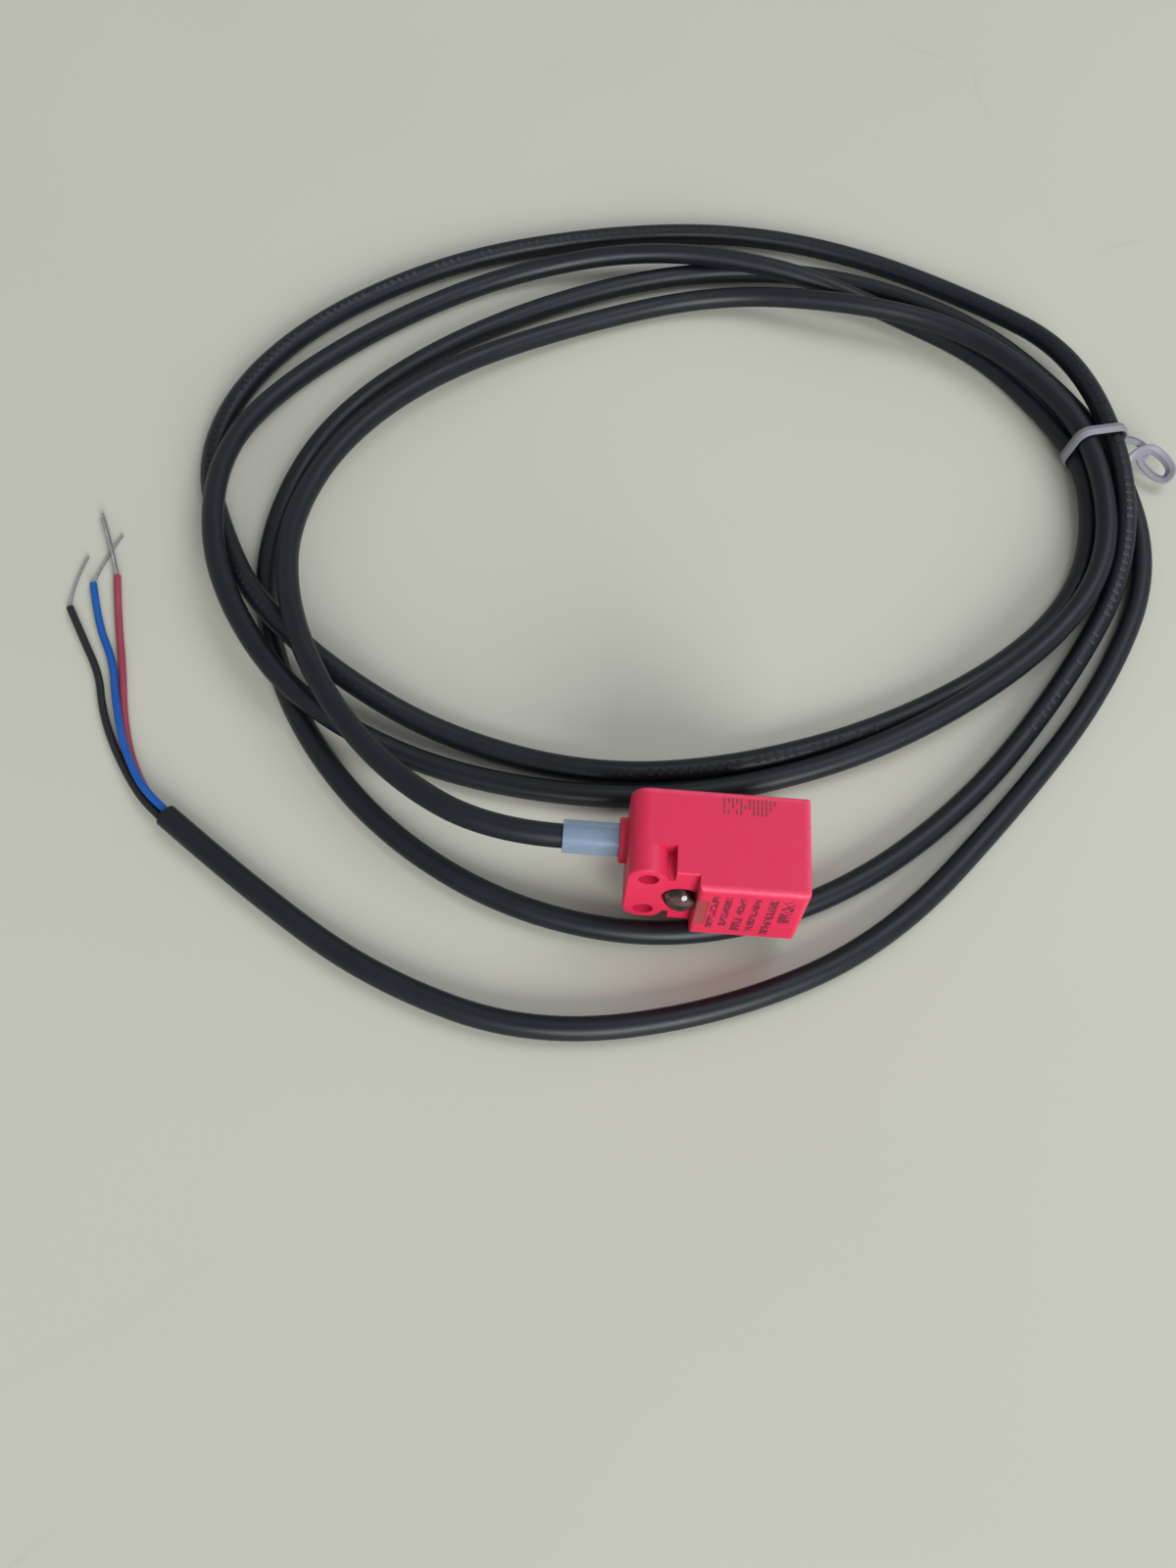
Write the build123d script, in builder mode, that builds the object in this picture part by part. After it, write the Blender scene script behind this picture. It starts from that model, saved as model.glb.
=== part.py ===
from build123d import *
from math import cos, pi, sin, sqrt, tan
import os

# Rectangular inductive proximity sensor with a loosely coiled three-core cable, lying on its side.
# Millimetres. +X is the sensing direction, -Y the label side, +Y the mounting side, +Z is up.
# The origin is the centre of the sensing face.

os.makedirs("parts", exist_ok=True)

# --- driving dimensions -------------------------------------------------------------------------

# housing
body_length = 28.0
body_width = 17.0
body_depth = 17.0
flange_length = 11.0
flange_recess = 2.4
wall = 1.2
rear_corner_radius = 3.0
block_edge_radius = 0.8
front_edge_radius = 0.5
rim_edge_radius = 0.35

# mounting holes, and the notches beside their lobes
hole_diameter = 3.3
hole_pitch = 11.0
hole_from_rear = 3.3
lobe_radius = 3.0
notch_width = 1.1
notch_cut = 2.8
notch_depth = 4.8

# cable outlet
outlet_offset = 3.0
boss_diameter = 7.4
boss_length = 1.3
sleeve_diameter = 5.4
sleeve_reach = 9.0

# cable
cable_diameter = 4.0
core_diameter = 1.35
core_ring_radius = 0.95
strand_diameter = 0.5
twin_strand_diameter = 0.8
jacket_inside = 3.2
layer_gap = 0.2
under_gap = 0.3

# indicator
window_diameter = 5.2
window_recess_margin = 0.4
window_recess_depth = 0.8
window_from_rear = 8.8
window_sink = 0.2
window_gap = 0.05
strip_length = 1.9
strip_width = 8.7
lamp_diameter = 3.0
lamp_flange_diameter = 3.4
lamp_flange_height = 0.6
lamp_length = 3.8
lamp_stand = 0.8
lamp_clearance = 0.2
lamp_lead_width = 0.4
lamp_lead_pitch = 1.4

# ferrite core and coil
core_side_gap = 0.3
core_length = 5.5
core_rim = 1.4
core_floor = 1.5
core_front_gap = 0.1
post_diameter = 4.6
bobbin_wall = 0.4
bobbin_gap = 0.1
winding_margin = 0.3
coil_wire_diameter = 0.3
coil_slot_width = 1.0

# circuit board
board_thickness = 0.8
board_level = 1.6
board_margin = 0.3
board_tongue_width = 4.8
board_tongue_from_rear = 5.6
solder_height = 0.6
wire_gap = 0.05
wire_pad_pitch = 1.8

# cover
cover_gap = 0.05

# twist tie round the bundle of turns
tie_centre = (60.2, 100.2)
tie_heading = (0.300, -0.954)
tie_width = 2.0
tie_thickness = 0.6
tie_gap = 0.25
tie_tail_diameter = 1.6
tie_loop_radius = 2.9

# --- derived places -----------------------------------------------------------------------------

rear = -body_length
half_width = body_width / 2
half_depth = body_depth / 2
step = rear + flange_length
flange_face = half_depth - flange_recess
hole_x = rear + hole_from_rear
hole_z = hole_pitch / 2
notch_front = hole_x + lobe_radius + notch_width
cavity_rear = notch_front + wall
cavity_half = half_width - wall
corridor_rear = rear + wall
corridor_half = board_tongue_width / 2 + board_margin
window_recess_diameter = window_diameter + 2 * window_recess_margin
window_x = rear + window_from_rear
boss_face = rear - boss_length
sleeve_end = boss_face - sleeve_reach
jacket_end = rear + jacket_inside
core_outer_diameter = min(body_width, body_depth) - 2 * (wall + core_side_gap)
core_front = -wall - core_front_gap
core_back = core_front - core_length
channel_floor = core_back + core_floor
channel_radius = core_outer_diameter / 2 - core_rim
coil_wire_radius = core_outer_diameter / 2 - core_rim / 2
bobbin_bore = post_diameter / 2 + bobbin_gap
bobbin_rim = channel_radius - bobbin_gap
winding_radius = bobbin_rim - winding_margin
winding_middle = (channel_floor + core_front) / 2
board_front = core_back - board_margin
board_rear = cavity_rear + board_margin
board_tongue_end = rear + board_tongue_from_rear
board_half = cavity_half - board_margin
board_back = board_level - board_thickness
lamp_base = board_level + lamp_stand
lamp_top = lamp_base + lamp_length
window_base = board_level + window_sink
layer_pitch = cable_diameter + layer_gap
surface = -half_width - under_gap - cable_diameter
outlet = (outlet_offset, 0)


def level(height):
    """XZ plane at a height above the sensor's axis, measured towards the label face."""
    return Plane.XZ.offset(height)


def block(x_low, x_high, half_z):
    """Draws a rectangle in the active sketch, from x_low to x_high and half_z either side of the axis."""
    with Locations(((x_low + x_high) / 2, 0)):
        Rectangle(x_high - x_low, 2 * half_z)


def tray_plan(inset):
    """Draws the T-shaped plan of the cavity in the active sketch, drawn in by inset all round."""
    block(cavity_rear + inset, -wall - inset, cavity_half - inset)
    block(corridor_rear + inset, cavity_rear + inset, corridor_half - inset)


# --- housing ------------------------------------------------------------------------------------

with BuildPart() as cavity:
    with BuildSketch(level(-half_depth)):
        tray_plan(0)
    extrude(amount=half_depth + flange_face - wall)
    with BuildSketch(level(flange_face - wall)):
        block(step + wall, -wall, cavity_half)
    extrude(amount=flange_recess)

with BuildPart() as housing:
    with BuildSketch(level(-half_depth)) as outline:
        block(rear, 0, half_width)
        fillet(outline.vertices().group_by(Axis.X)[0], rear_corner_radius)
    extrude(amount=half_depth + flange_face)
    with BuildSketch(level(flange_face)):
        block(step, 0, half_width)
    extrude(amount=flange_recess)
    fillet(housing.edges().filter_by(Axis.Y).group_by(Axis.X)[-1], front_edge_radius)
    fillet(housing.faces().sort_by(Axis.Y)[0].edges(), block_edge_radius)
    fillet(housing.faces().sort_by(Axis.Y)[-1].edges(), front_edge_radius)
    flange_rim = housing.faces().filter_by(Plane.XZ).sort_by(Axis.X)[0].edges()
    fillet(flange_rim.sort_by(Axis.X)[:-1], rim_edge_radius)
    with BuildSketch(Plane.YZ.offset(rear)):
        with Locations(outlet):
            Circle(boss_diameter / 2)
    extrude(amount=-boss_length)
    fillet(housing.faces().sort_by(Axis.X)[0].edges(), rim_edge_radius)
    # each notch leaves a round lobe about its hole and a square wall ahead of it
    with BuildSketch(level(flange_face)):
        with Locations(((hole_x + notch_front) / 2, half_width - notch_cut / 2)):
            Rectangle(notch_front - hole_x, notch_cut)
        with Locations((hole_x, hole_z)):
            Circle(lobe_radius, mode=Mode.SUBTRACT)
        mirror(about=Plane.XZ)
    extrude(amount=-notch_depth, mode=Mode.SUBTRACT)
    with BuildSketch(level(flange_face)):
        with Locations((hole_x, hole_z), (hole_x, -hole_z)):
            Circle(hole_diameter / 2)
    extrude(amount=-body_depth, mode=Mode.SUBTRACT)
    add(cavity.part, mode=Mode.SUBTRACT)
    with BuildSketch(level(flange_face)):
        with Locations((window_x, 0)):
            Circle(window_recess_diameter / 2)
    extrude(amount=-window_recess_depth, mode=Mode.SUBTRACT)
    with BuildSketch(level(flange_face)):
        with Locations((window_x, 0)):
            Circle(window_diameter / 2)
    extrude(amount=window_base - flange_face, mode=Mode.SUBTRACT)
    with BuildSketch(level(flange_face)):
        block(step, step + strip_length, strip_width / 2)
    extrude(amount=flange_recess, mode=Mode.SUBTRACT)
    with BuildSketch(Plane.YZ.offset(boss_face)):
        with Locations(outlet):
            Circle(sleeve_diameter / 2)
    extrude(amount=boss_length + wall, mode=Mode.SUBTRACT)

# --- base cover, pressed into the mouth of the cavity -----------------------------------------------

with BuildPart() as base_cover:
    with BuildSketch(level(-half_depth)):
        tray_plan(cover_gap)
    extrude(amount=wall)

# --- indicator window: a clear dome on a stem, beside a flat strip -----------------------------------

dome_seat = flange_face - window_recess_depth + window_gap
dome_base = flange_face + window_sink
dome_top = half_depth - window_sink
stem_half = window_diameter / 2 - window_gap
dome_half = window_recess_diameter / 2 - 2 * window_gap
dome_height = dome_top - dome_base
dome_radius = (dome_half**2 + dome_height**2) / (2 * dome_height)
window_axis = Axis((window_x, 0, 0), (0, 1, 0))

with BuildPart() as indicator_window:
    with BuildSketch(Plane.XY):
        with BuildLine():
            Polyline(
                (window_x, -dome_top),
                (window_x, -window_base),
                (window_x + stem_half, -window_base),
                (window_x + stem_half, -dome_seat),
                (window_x + dome_half, -dome_seat),
                (window_x + dome_half, -dome_base),
            )
            RadiusArc((window_x + dome_half, -dome_base), (window_x, -dome_top), dome_radius)
        make_face()
    revolve(axis=window_axis)
    with BuildSketch(level(flange_face + window_gap)):
        block(step, step + strip_length - window_gap, strip_width / 2 - window_gap)
    extrude(amount=flange_recess - 2 * window_gap)
    with BuildSketch(level(window_base)):
        with Locations((window_x, 0)):
            Circle(lamp_flange_diameter / 2 + lamp_clearance)
    extrude(amount=lamp_top + lamp_clearance - window_base, mode=Mode.SUBTRACT)

# --- indicator lamp: flange, domed body and two leads --------------------------------------------------

lamp_half = lamp_diameter / 2

with BuildPart() as indicator_lamp:
    with BuildSketch(Plane.XY):
        with BuildLine():
            Polyline(
                (window_x, -lamp_top),
                (window_x, -lamp_base),
                (window_x + lamp_flange_diameter / 2, -lamp_base),
                (window_x + lamp_flange_diameter / 2, -lamp_base - lamp_flange_height),
                (window_x + lamp_half, -lamp_base - lamp_flange_height),
                (window_x + lamp_half, -lamp_top + lamp_half),
            )
            RadiusArc((window_x + lamp_half, -lamp_top + lamp_half), (window_x, -lamp_top), lamp_half)
        make_face()
    revolve(axis=window_axis)
    with BuildSketch(level(lamp_base)):
        with Locations((window_x, 0)):
            with GridLocations(lamp_lead_pitch, 0, 2, 1):
                Rectangle(lamp_lead_width, lamp_lead_width)
    extrude(amount=-lamp_stand - board_thickness)

# --- circuit board ------------------------------------------------------------------------------------

with BuildPart() as circuit_board:
    with BuildSketch(level(board_level)):
        block(board_rear, board_front, board_half)
        block(board_tongue_end, board_rear, board_tongue_width / 2)
    extrude(amount=-board_thickness)
    add(indicator_lamp.part, mode=Mode.SUBTRACT)

# --- components on the board ---------------------------------------------------------------------------

chip_length = 5.0
chip_width = 4.0
chip_height = 1.5
chip_foot = 0.9
chip_foot_width = 0.4
chip_foot_height = 0.5
chip_foot_pitch = 1.27
chip_centre = (board_front - 5.5, 3.4 - board_half)

with BuildPart() as oscillator_chip:
    with BuildSketch(level(board_level)):
        with Locations(chip_centre):
            with GridLocations(chip_foot_pitch, chip_width + chip_foot, 4, 2):
                Rectangle(chip_foot_width, chip_foot)
    extrude(amount=chip_foot_height)
    with BuildSketch(level(board_level)):
        with Locations(chip_centre):
            Rectangle(chip_length, chip_width)
    extrude(amount=chip_height)
    chamfer(oscillator_chip.faces().sort_by(Axis.Y)[0].edges(), 0.25)

transistor_centre = (board_front - 5.9, board_half - 3.8)

with BuildPart() as output_transistor:
    with BuildSketch(level(board_level)):
        with Locations(transistor_centre):
            Rectangle(4.5, 2.5)
    extrude(amount=chip_height)
    chamfer(output_transistor.faces().sort_by(Axis.Y)[0].edges(), 0.2)
    with BuildSketch(level(board_level)):
        with Locations((transistor_centre[0], transistor_centre[1] + 1.6)):
            with GridLocations(1.5, 0, 3, 1):
                Rectangle(0.5, 0.9)
        with Locations((transistor_centre[0], transistor_centre[1] - 1.5)):
            Rectangle(1.8, 0.6)
    extrude(amount=chip_foot_height)

front_row = board_front - 2.2
rear_row = board_rear + 1.6
resistor_row = window_diameter / 2 + 0.8

with BuildPart() as chip_capacitors:
    with BuildSketch(level(board_level)):
        with Locations(
            (rear_row, board_half - 1.2),
            (rear_row, 1.2 - board_half),
            (front_row, coil_wire_radius - 3.7),
            (front_row, 2.3 - coil_wire_radius),
        ):
            Rectangle(1.3, 2.0)
    extrude(amount=1.0)
    with BuildSketch(level(board_back)):
        with Locations((board_front - 3.1, 3.2 - board_half)):
            Rectangle(2.8, 3.5)
    extrude(amount=-1.9)
    fillet(chip_capacitors.edges().filter_by(Axis.Y), 0.15)

with BuildPart() as chip_resistors:
    with BuildSketch(level(board_level)):
        with Locations((rear_row, resistor_row), (rear_row, -resistor_row), (front_row, 0.2), (front_row, -1.6)):
            Rectangle(1.6, 0.8)
        with Locations((board_front - 4.9, 0.3), (board_front - 7.1, 0.3)):
            Rectangle(0.8, 1.6)
    extrude(amount=0.45)

diode_height = 2.1
diode_places = [(board_front - 6.7, board_half - 3.4), (board_front - 6.7, 3.4 - board_half)]

with BuildPart() as surge_diodes:
    with BuildSketch(level(board_back)):
        with Locations(*diode_places):
            Rectangle(2.6, 4.2)
    extrude(amount=-diode_height)
    chamfer(surge_diodes.faces().sort_by(Axis.Y)[-2:].edges(), 0.3)
    with BuildSketch(level(board_back)):
        with Locations(*diode_places):
            with GridLocations(0, 4.8, 1, 2):
                Rectangle(1.4, 0.6)
    extrude(amount=-chip_foot_height)

# --- ferrite core, bobbin, winding and its two lead wires ---------------------------------------------

with BuildPart() as ferrite_core:
    with BuildSketch(Plane.YZ.offset(core_back)):
        Circle(core_outer_diameter / 2)
    extrude(amount=core_length)
    with BuildSketch(Plane.YZ.offset(channel_floor)):
        Circle(channel_radius)
        Circle(post_diameter / 2, mode=Mode.SUBTRACT)
    extrude(amount=core_length - core_floor, mode=Mode.SUBTRACT)
    wire_height = board_level + wire_gap + coil_wire_diameter / 2
    with BuildSketch(Plane.YZ.offset(core_back)):
        with Locations((-wire_height, coil_wire_radius), (-wire_height, -coil_wire_radius)):
            Rectangle(coil_slot_width, 2 * core_rim)
    extrude(amount=core_length, mode=Mode.SUBTRACT)

with BuildPart() as coil_bobbin:
    with BuildSketch(Plane.YZ.offset(channel_floor)):
        Circle(bobbin_rim)
    extrude(amount=core_front - channel_floor)
    with BuildSketch(Plane.YZ.offset(channel_floor + bobbin_wall)):
        Circle(bobbin_rim)
        Circle(bobbin_bore + bobbin_wall, mode=Mode.SUBTRACT)
    extrude(amount=core_front - channel_floor - 2 * bobbin_wall, mode=Mode.SUBTRACT)
    with BuildSketch(Plane.YZ.offset(channel_floor)):
        Circle(bobbin_bore)
    extrude(amount=core_front - channel_floor, mode=Mode.SUBTRACT)

with BuildPart() as coil_winding:
    with BuildSketch(Plane.YZ.offset(channel_floor + bobbin_wall)):
        Circle(winding_radius)
        Circle(bobbin_bore + bobbin_wall, mode=Mode.SUBTRACT)
    extrude(amount=core_front - channel_floor - 2 * bobbin_wall)

winding_exit = sqrt(winding_radius**2 - wire_height**2)
coil_pad = board_front - 1.6

with BuildPart() as coil_wires:
    with BuildLine() as coil_wire_path:
        FilletPolyline(
            (winding_middle, -wire_height, winding_exit),
            (winding_middle, -wire_height, coil_wire_radius),
            (coil_pad, -wire_height, coil_wire_radius),
            radius=2 * coil_wire_diameter,
        )
    with BuildSketch(Plane(coil_wire_path.line @ 0, z_dir=coil_wire_path.line % 0)):
        Circle(coil_wire_diameter / 2)
    sweep()
    mirror(about=Plane.XY)

# --- strain relief sleeve and the length of jacket inside it --------------------------------------------

with BuildPart() as strain_relief_sleeve:
    with BuildSketch(Plane.YZ.offset(sleeve_end)):
        with Locations(outlet):
            Circle(sleeve_diameter / 2)
            Circle(cable_diameter / 2, mode=Mode.SUBTRACT)
    extrude(amount=corridor_rear - sleeve_end)
    fillet(strain_relief_sleeve.faces().sort_by(Axis.X)[0].outer_wire().edges(), 0.2)

with BuildPart() as cable_entry:
    with BuildSketch(Plane.YZ.offset(sleeve_end)):
        with Locations(outlet):
            Circle(cable_diameter / 2)
    extrude(amount=jacket_end - sleeve_end)

# --- the three insulated wires from the jacket to the board -----------------------------------------------

wire_rest = -board_back + wire_gap + core_diameter / 2
pad_rear = board_tongue_end + 3.5


def board_wire(name, angle, pad_z):
    """Builds one insulated wire from its place in the jacket to its pad under the board."""
    y = outlet_offset + core_ring_radius * cos(angle)
    z = core_ring_radius * sin(angle)
    with BuildPart() as wire:
        with BuildLine() as path:
            FilletPolyline(
                (jacket_end, y, z),
                (jacket_end + 0.8, y, z),
                (pad_rear - 1.4, wire_rest, pad_z),
                (pad_rear, wire_rest, pad_z),
                radius=core_diameter,
            )
        with BuildSketch(Plane(path.line @ 0, z_dir=path.line % 0)):
            Circle(core_diameter / 2)
        sweep()
    wire.part.label = name
    return wire.part


brown_wire = board_wire("brown_wire", pi / 3, wire_pad_pitch)
black_wire = board_wire("black_wire", pi, 0)
blue_wire = board_wire("blue_wire", -pi / 3, -wire_pad_pitch)

with BuildPart() as solder_joints:
    with BuildSketch(level(board_back)):
        with Locations((pad_rear + 0.7, 0)):
            with GridLocations(0, wire_pad_pitch, 1, 3):
                Rectangle(1.4, core_diameter)
    extrude(amount=-wire_rest - board_back - core_diameter / 2, taper=15)
    with BuildSketch(level(board_level)):
        with Locations((coil_pad - 0.6, coil_wire_radius), (coil_pad - 0.6, -coil_wire_radius)):
            Rectangle(1.2, 1.0)
    extrude(amount=solder_height)

# --- the cable's route: x, y and the number of layers of cable beneath it -----------------------------------

outlet_layer = (-surface - cable_diameter / 2) / layer_pitch
jacket_tip = (-104.0, 6.7)

cable_route = [
    # out of the sleeve, down to the left and round the first turn
    (sleeve_end, outlet_offset, outlet_layer),
    (-50.0, outlet_offset, outlet_layer),
    (-66.0, 11.5, 2.35),
    (-79.5, 26.0, 2.15),
    (-89.0, 45.0, 2.1),
    (-91.5, 66.0, 1.4),
    (-84.0, 88.0, 1.0),
    (-68.0, 107.0, 0.6),
    (-43.0, 123.5, 0.1),
    (-15.0, 135.0, 0.1),
    (11.0, 131.5, 1.2),
    (34.0, 127.5, 1.1),
    (50.5, 113.5, 1.25),
    # second turn, from the tie
    (59.5, 97.0, 1.3),
    (60.0, 72.0, 1.05),
    (46.5, 51.0, 0.95),
    (20.0, 31.0, 0.35),
    (-8.0, 19.5, 0),
    (-34.0, 15.5, 0),
    (-62.0, 19.0, 0),
    (-84.0, 27.5, 1.0),
    (-97.0, 42.0, 1.15),
    (-105.5, 60.0, 1.15),
    (-107.0, 82.0, 0.8),
    (-98.5, 102.0, 0),
    (-80.0, 121.0, 0),
    (-56.0, 137.5, 0),
    (-28.0, 143.5, 0.85),
    (0.0, 139.5, 1.15),
    (22.0, 134.0, 0),
    (40.5, 124.0, 0),
    (52.0, 109.0, 0.1),
    # third turn, the outermost along the far side
    (59.0, 95.0, 0.3),
    (57.5, 73.0, 0),
    (45.5, 54.0, 0),
    (20.0, 35.5, 0),
    (-8.0, 24.0, 0),
    (-34.0, 20.0, 0),
    (-60.0, 25.5, 0),
    (-80.0, 34.5, 1.0),
    (-95.0, 47.5, 1.15),
    (-103.0, 62.0, 0),
    (-110.5, 80.0, 0),
    (-107.0, 101.0, 0),
    (-92.5, 121.5, 0),
    (-68.0, 139.5, 0),
    (-40.0, 149.5, 0),
    (-12.0, 154.0, 0),
    (14.0, 150.5, 0),
    (40.0, 139.5, 0),
    (57.5, 124.0, 0.85),
    # fourth turn, which passes under the sensor
    (64.5, 96.0, 1.35),
    (63.2, 70.5, 0.55),
    (50.0, 46.0, 0),
    (31.0, 20.0, 0),
    (8.0, 0.5, 0),
    (-18.0, -9.0, 0),
    (-44.0, -6.5, 0),
    (-67.0, 5.5, 0),
    (-84.0, 24.0, 0),
    (-94.0, 46.0, 0),
    (-96.0, 69.0, 0),
    (-88.5, 94.0, 0),
    (-68.5, 116.0, 0),
    (-42.0, 133.0, 0),
    (-16.0, 142.5, 0),
    (12.0, 143.5, 0),
    (38.5, 133.5, 0),
    (55.5, 116.0, 0.1),
    # the free end, in front of the sensor
    (65.0, 98.0, 0.3),
    (69.0, 73.0, 0),
    (57.0, 45.5, 0),
    (38.5, 20.0, 0),
    (16.0, -6.5, 0),
    (-10.0, -20.5, 0),
    (-40.0, -27.0, 0),
    (-66.0, -19.5, 0),
    (-88.0, -5.5, 0),
    (*jacket_tip, 0),
]


def bend_radii(points):
    """Arc radius at each inner point: 0.45 of the shorter run over the tangent of half the turn."""
    radii = []
    for before, here, after in zip(points, points[1:], points[2:]):
        arriving = here - before
        leaving = after - here
        half_turn = arriving.get_angle(leaving) * pi / 360
        radii.append(0.45 * min(arriving.length, leaving.length) / tan(half_turn))
    return radii


def tube(name, points, diameter):
    """Builds a round tube along straight runs joined by tangent arcs, and reports its size."""
    radii = bend_radii(points)
    with BuildPart() as piece:
        with BuildLine() as path:
            FilletPolyline(*points, radius=radii)
        with BuildSketch(Plane(path.line @ 0, z_dir=path.line % 0)):
            Circle(diameter / 2)
        sweep()
    piece.part.label = name
    length = sum(edge.length for edge in path.edges())
    filled = piece.part.volume / (pi * diameter**2 / 4 * length)
    print(f"{name}: length {length:.1f}, volume ratio {filled:.4f}")
    print(f"  bend radii {', '.join(f'{radius:.1f}' for radius in radii)}")
    return piece.part


lowest_centre = surface + cable_diameter / 2
cable_points = [Vector(x, y, lowest_centre + layer * layer_pitch) for x, y, layer in cable_route]
cable = tube("cable", cable_points, cable_diameter)

# --- the stripped end: x, y and the height of the centre above the surface ----------------------------------


def above_surface(route):
    """Turns x, y and height above the surface into points."""
    return [Vector(x, y, surface + height) for x, y, height in route]


# the cores leave the cut face of the jacket side by side, square to it
tip_run = cable_points[-1] - cable_points[-2]
tip_side = Vector(-tip_run.Y, tip_run.X, 0).normalized()
tip_height = cable_diameter / 2


def core_exit(side, lift):
    """Two points of a core: on the jacket's cut face, and straight out from it."""
    start = Vector(*jacket_tip, tip_height) + side * tip_side + Vector(0, 0, lift)
    return [tuple(start), tuple(start + tip_run.normalized() * 4.0)]


black_route = [
    *core_exit(0.75, -0.25),
    (-111.4, 13.2, 1.1),
    (-116.0, 20.4, 0.72),
    (-119.0, 27.0, 0.7),
    (-120.8, 33.5, 0.7),
    (-125.0, 40.5, 0.7),
    (-128.8, 47.0, 0.7),
]
blue_route = [
    *core_exit(-0.45, 0.72),
    (-110.2, 13.4, 2.3),
    (-113.9, 20.0, 2.1),
    (-116.8, 28.5, 1.6),
    (-119.0, 36.5, 0.72),
    (-123.2, 44.0, 0.7),
    (-125.8, 52.5, 0.7),
]
brown_route = [
    *core_exit(-0.6, -0.75),
    (-109.3, 12.6, 0.85),
    (-112.6, 18.6, 0.7),
    (-115.2, 26.5, 0.7),
    (-117.0, 35.0, 0.7),
    (-119.8, 45.0, 0.7),
    (-121.9, 54.5, 0.7),
]
black_core = tube("black_core", above_surface(black_route), core_diameter)
blue_core = tube("blue_core", above_surface(blue_route), core_diameter)
brown_core = tube("brown_core", above_surface(brown_route), core_diameter)

# tinned copper strands twisted together past the end of each core's insulation
black_tip = [(-129.4, 52.5, 0.5), (-128.0, 58.5, 0.4)]
blue_tip = [(-124.9, 58.5, 0.3), (-122.9, 64.0, 0.3)]
brown_tip = [(-124.2, 61.0, 1.1), (-127.4, 68.0, 0.8)]
black_strands = tube("black_strands", above_surface(black_route[-1:] + black_tip), strand_diameter)
blue_strands = tube("blue_strands", above_surface(blue_route[-1:] + blue_tip), strand_diameter)
brown_strands = tube("brown_strands", above_surface(brown_route[-1:] + brown_tip), twin_strand_diameter)

# --- twist tie: a band round the four turns, a twisted stub and a loop ------------------------------------------

tie_outward = Vector(-tie_heading[1], tie_heading[0], 0)
tie_plane = Plane(origin=(*tie_centre, surface), x_dir=tie_outward, z_dir=(*tie_heading, 0))
# each turn's place in the bundle: outward from the tie's centre, and the layers of cable beneath it
bundle_layers = [(-3.6, 0.24), (-2.7, 1.29), (2.85, 1.21), (2.95, 0.24)]
bundle = [(outward, cable_diameter / 2 + layer * layer_pitch) for outward, layer in bundle_layers]
band_inside = cable_diameter / 2 + tie_gap
stub_height = (bundle[2][1] + bundle[3][1]) / 2
stub_start = Vector(*tie_centre, surface + stub_height) + tie_outward * (bundle[2][0] + band_inside + 0.2)
stub_turn = Vector(68.8, 100.0, surface + 4.8)
stub_end = Vector(70.9, 98.8, surface + 4.1)
loop_plane = Plane(origin=(73.1, 97.4, surface + 3.4), x_dir=(0.98, -0.18, 0.1), z_dir=(-0.168, -0.421, 0.891))

with BuildSketch(tie_plane) as band_opening:
    with Locations(*bundle):
        Circle(band_inside)
    make_hull()

with BuildPart() as twist_tie:
    with BuildSketch(tie_plane):
        with Locations(*bundle):
            Circle(band_inside + tie_thickness)
        make_hull()
    extrude(amount=tie_width / 2, both=True)
    extrude(band_opening.sketch, amount=tie_width, both=True, mode=Mode.SUBTRACT)
    with BuildLine() as stub_path:
        Polyline(stub_start, stub_turn, stub_end)
    with BuildSketch(Plane(stub_start, z_dir=stub_turn - stub_start)):
        Circle(tie_tail_diameter / 2)
    sweep(transition=Transition.ROUND)
    with BuildSketch(loop_plane):
        Circle(tie_loop_radius)
        Circle(tie_loop_radius - tie_thickness, mode=Mode.SUBTRACT)
    extrude(amount=tie_width / 2, both=True)

# --- potting compound: fills the cavity round everything in it -------------------------------------------------

with BuildPart() as potting_compound:
    add(cavity.part)
    with BuildSketch(level(-half_depth)):
        block(rear, 0, half_width)
    extrude(amount=wall, mode=Mode.SUBTRACT)
    with BuildSketch(Plane.YZ.offset(core_back)):
        Circle(core_outer_diameter / 2)
    extrude(amount=core_length, mode=Mode.SUBTRACT)
    with BuildSketch(level(window_base)):
        with Locations((window_x, 0)):
            Circle(stem_half)
    extrude(amount=half_depth, mode=Mode.SUBTRACT)
    for inner in (
        circuit_board, oscillator_chip, output_transistor, chip_capacitors, chip_resistors,
        surge_diodes, indicator_window, indicator_lamp, coil_wires, cable_entry, solder_joints,
    ):
        add(inner.part, mode=Mode.SUBTRACT)
    for wire_part in (brown_wire, black_wire, blue_wire):
        add(wire_part, mode=Mode.SUBTRACT)

# --- labels and files -------------------------------------------------------------------------------------------

housing.part.label = "housing"
base_cover.part.label = "base_cover"
potting_compound.part.label = "potting_compound"
indicator_window.part.label = "indicator_window"
indicator_lamp.part.label = "indicator_lamp"
circuit_board.part.label = "circuit_board"
oscillator_chip.part.label = "oscillator_chip"
output_transistor.part.label = "output_transistor"
chip_capacitors.part.label = "chip_capacitors"
chip_resistors.part.label = "chip_resistors"
surge_diodes.part.label = "surge_diodes"
ferrite_core.part.label = "ferrite_core"
coil_bobbin.part.label = "coil_bobbin"
coil_winding.part.label = "coil_winding"
coil_wires.part.label = "coil_wires"
strain_relief_sleeve.part.label = "strain_relief_sleeve"
cable_entry.part.label = "cable_entry"
solder_joints.part.label = "solder_joints"
twist_tie.part.label = "twist_tie"

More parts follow.
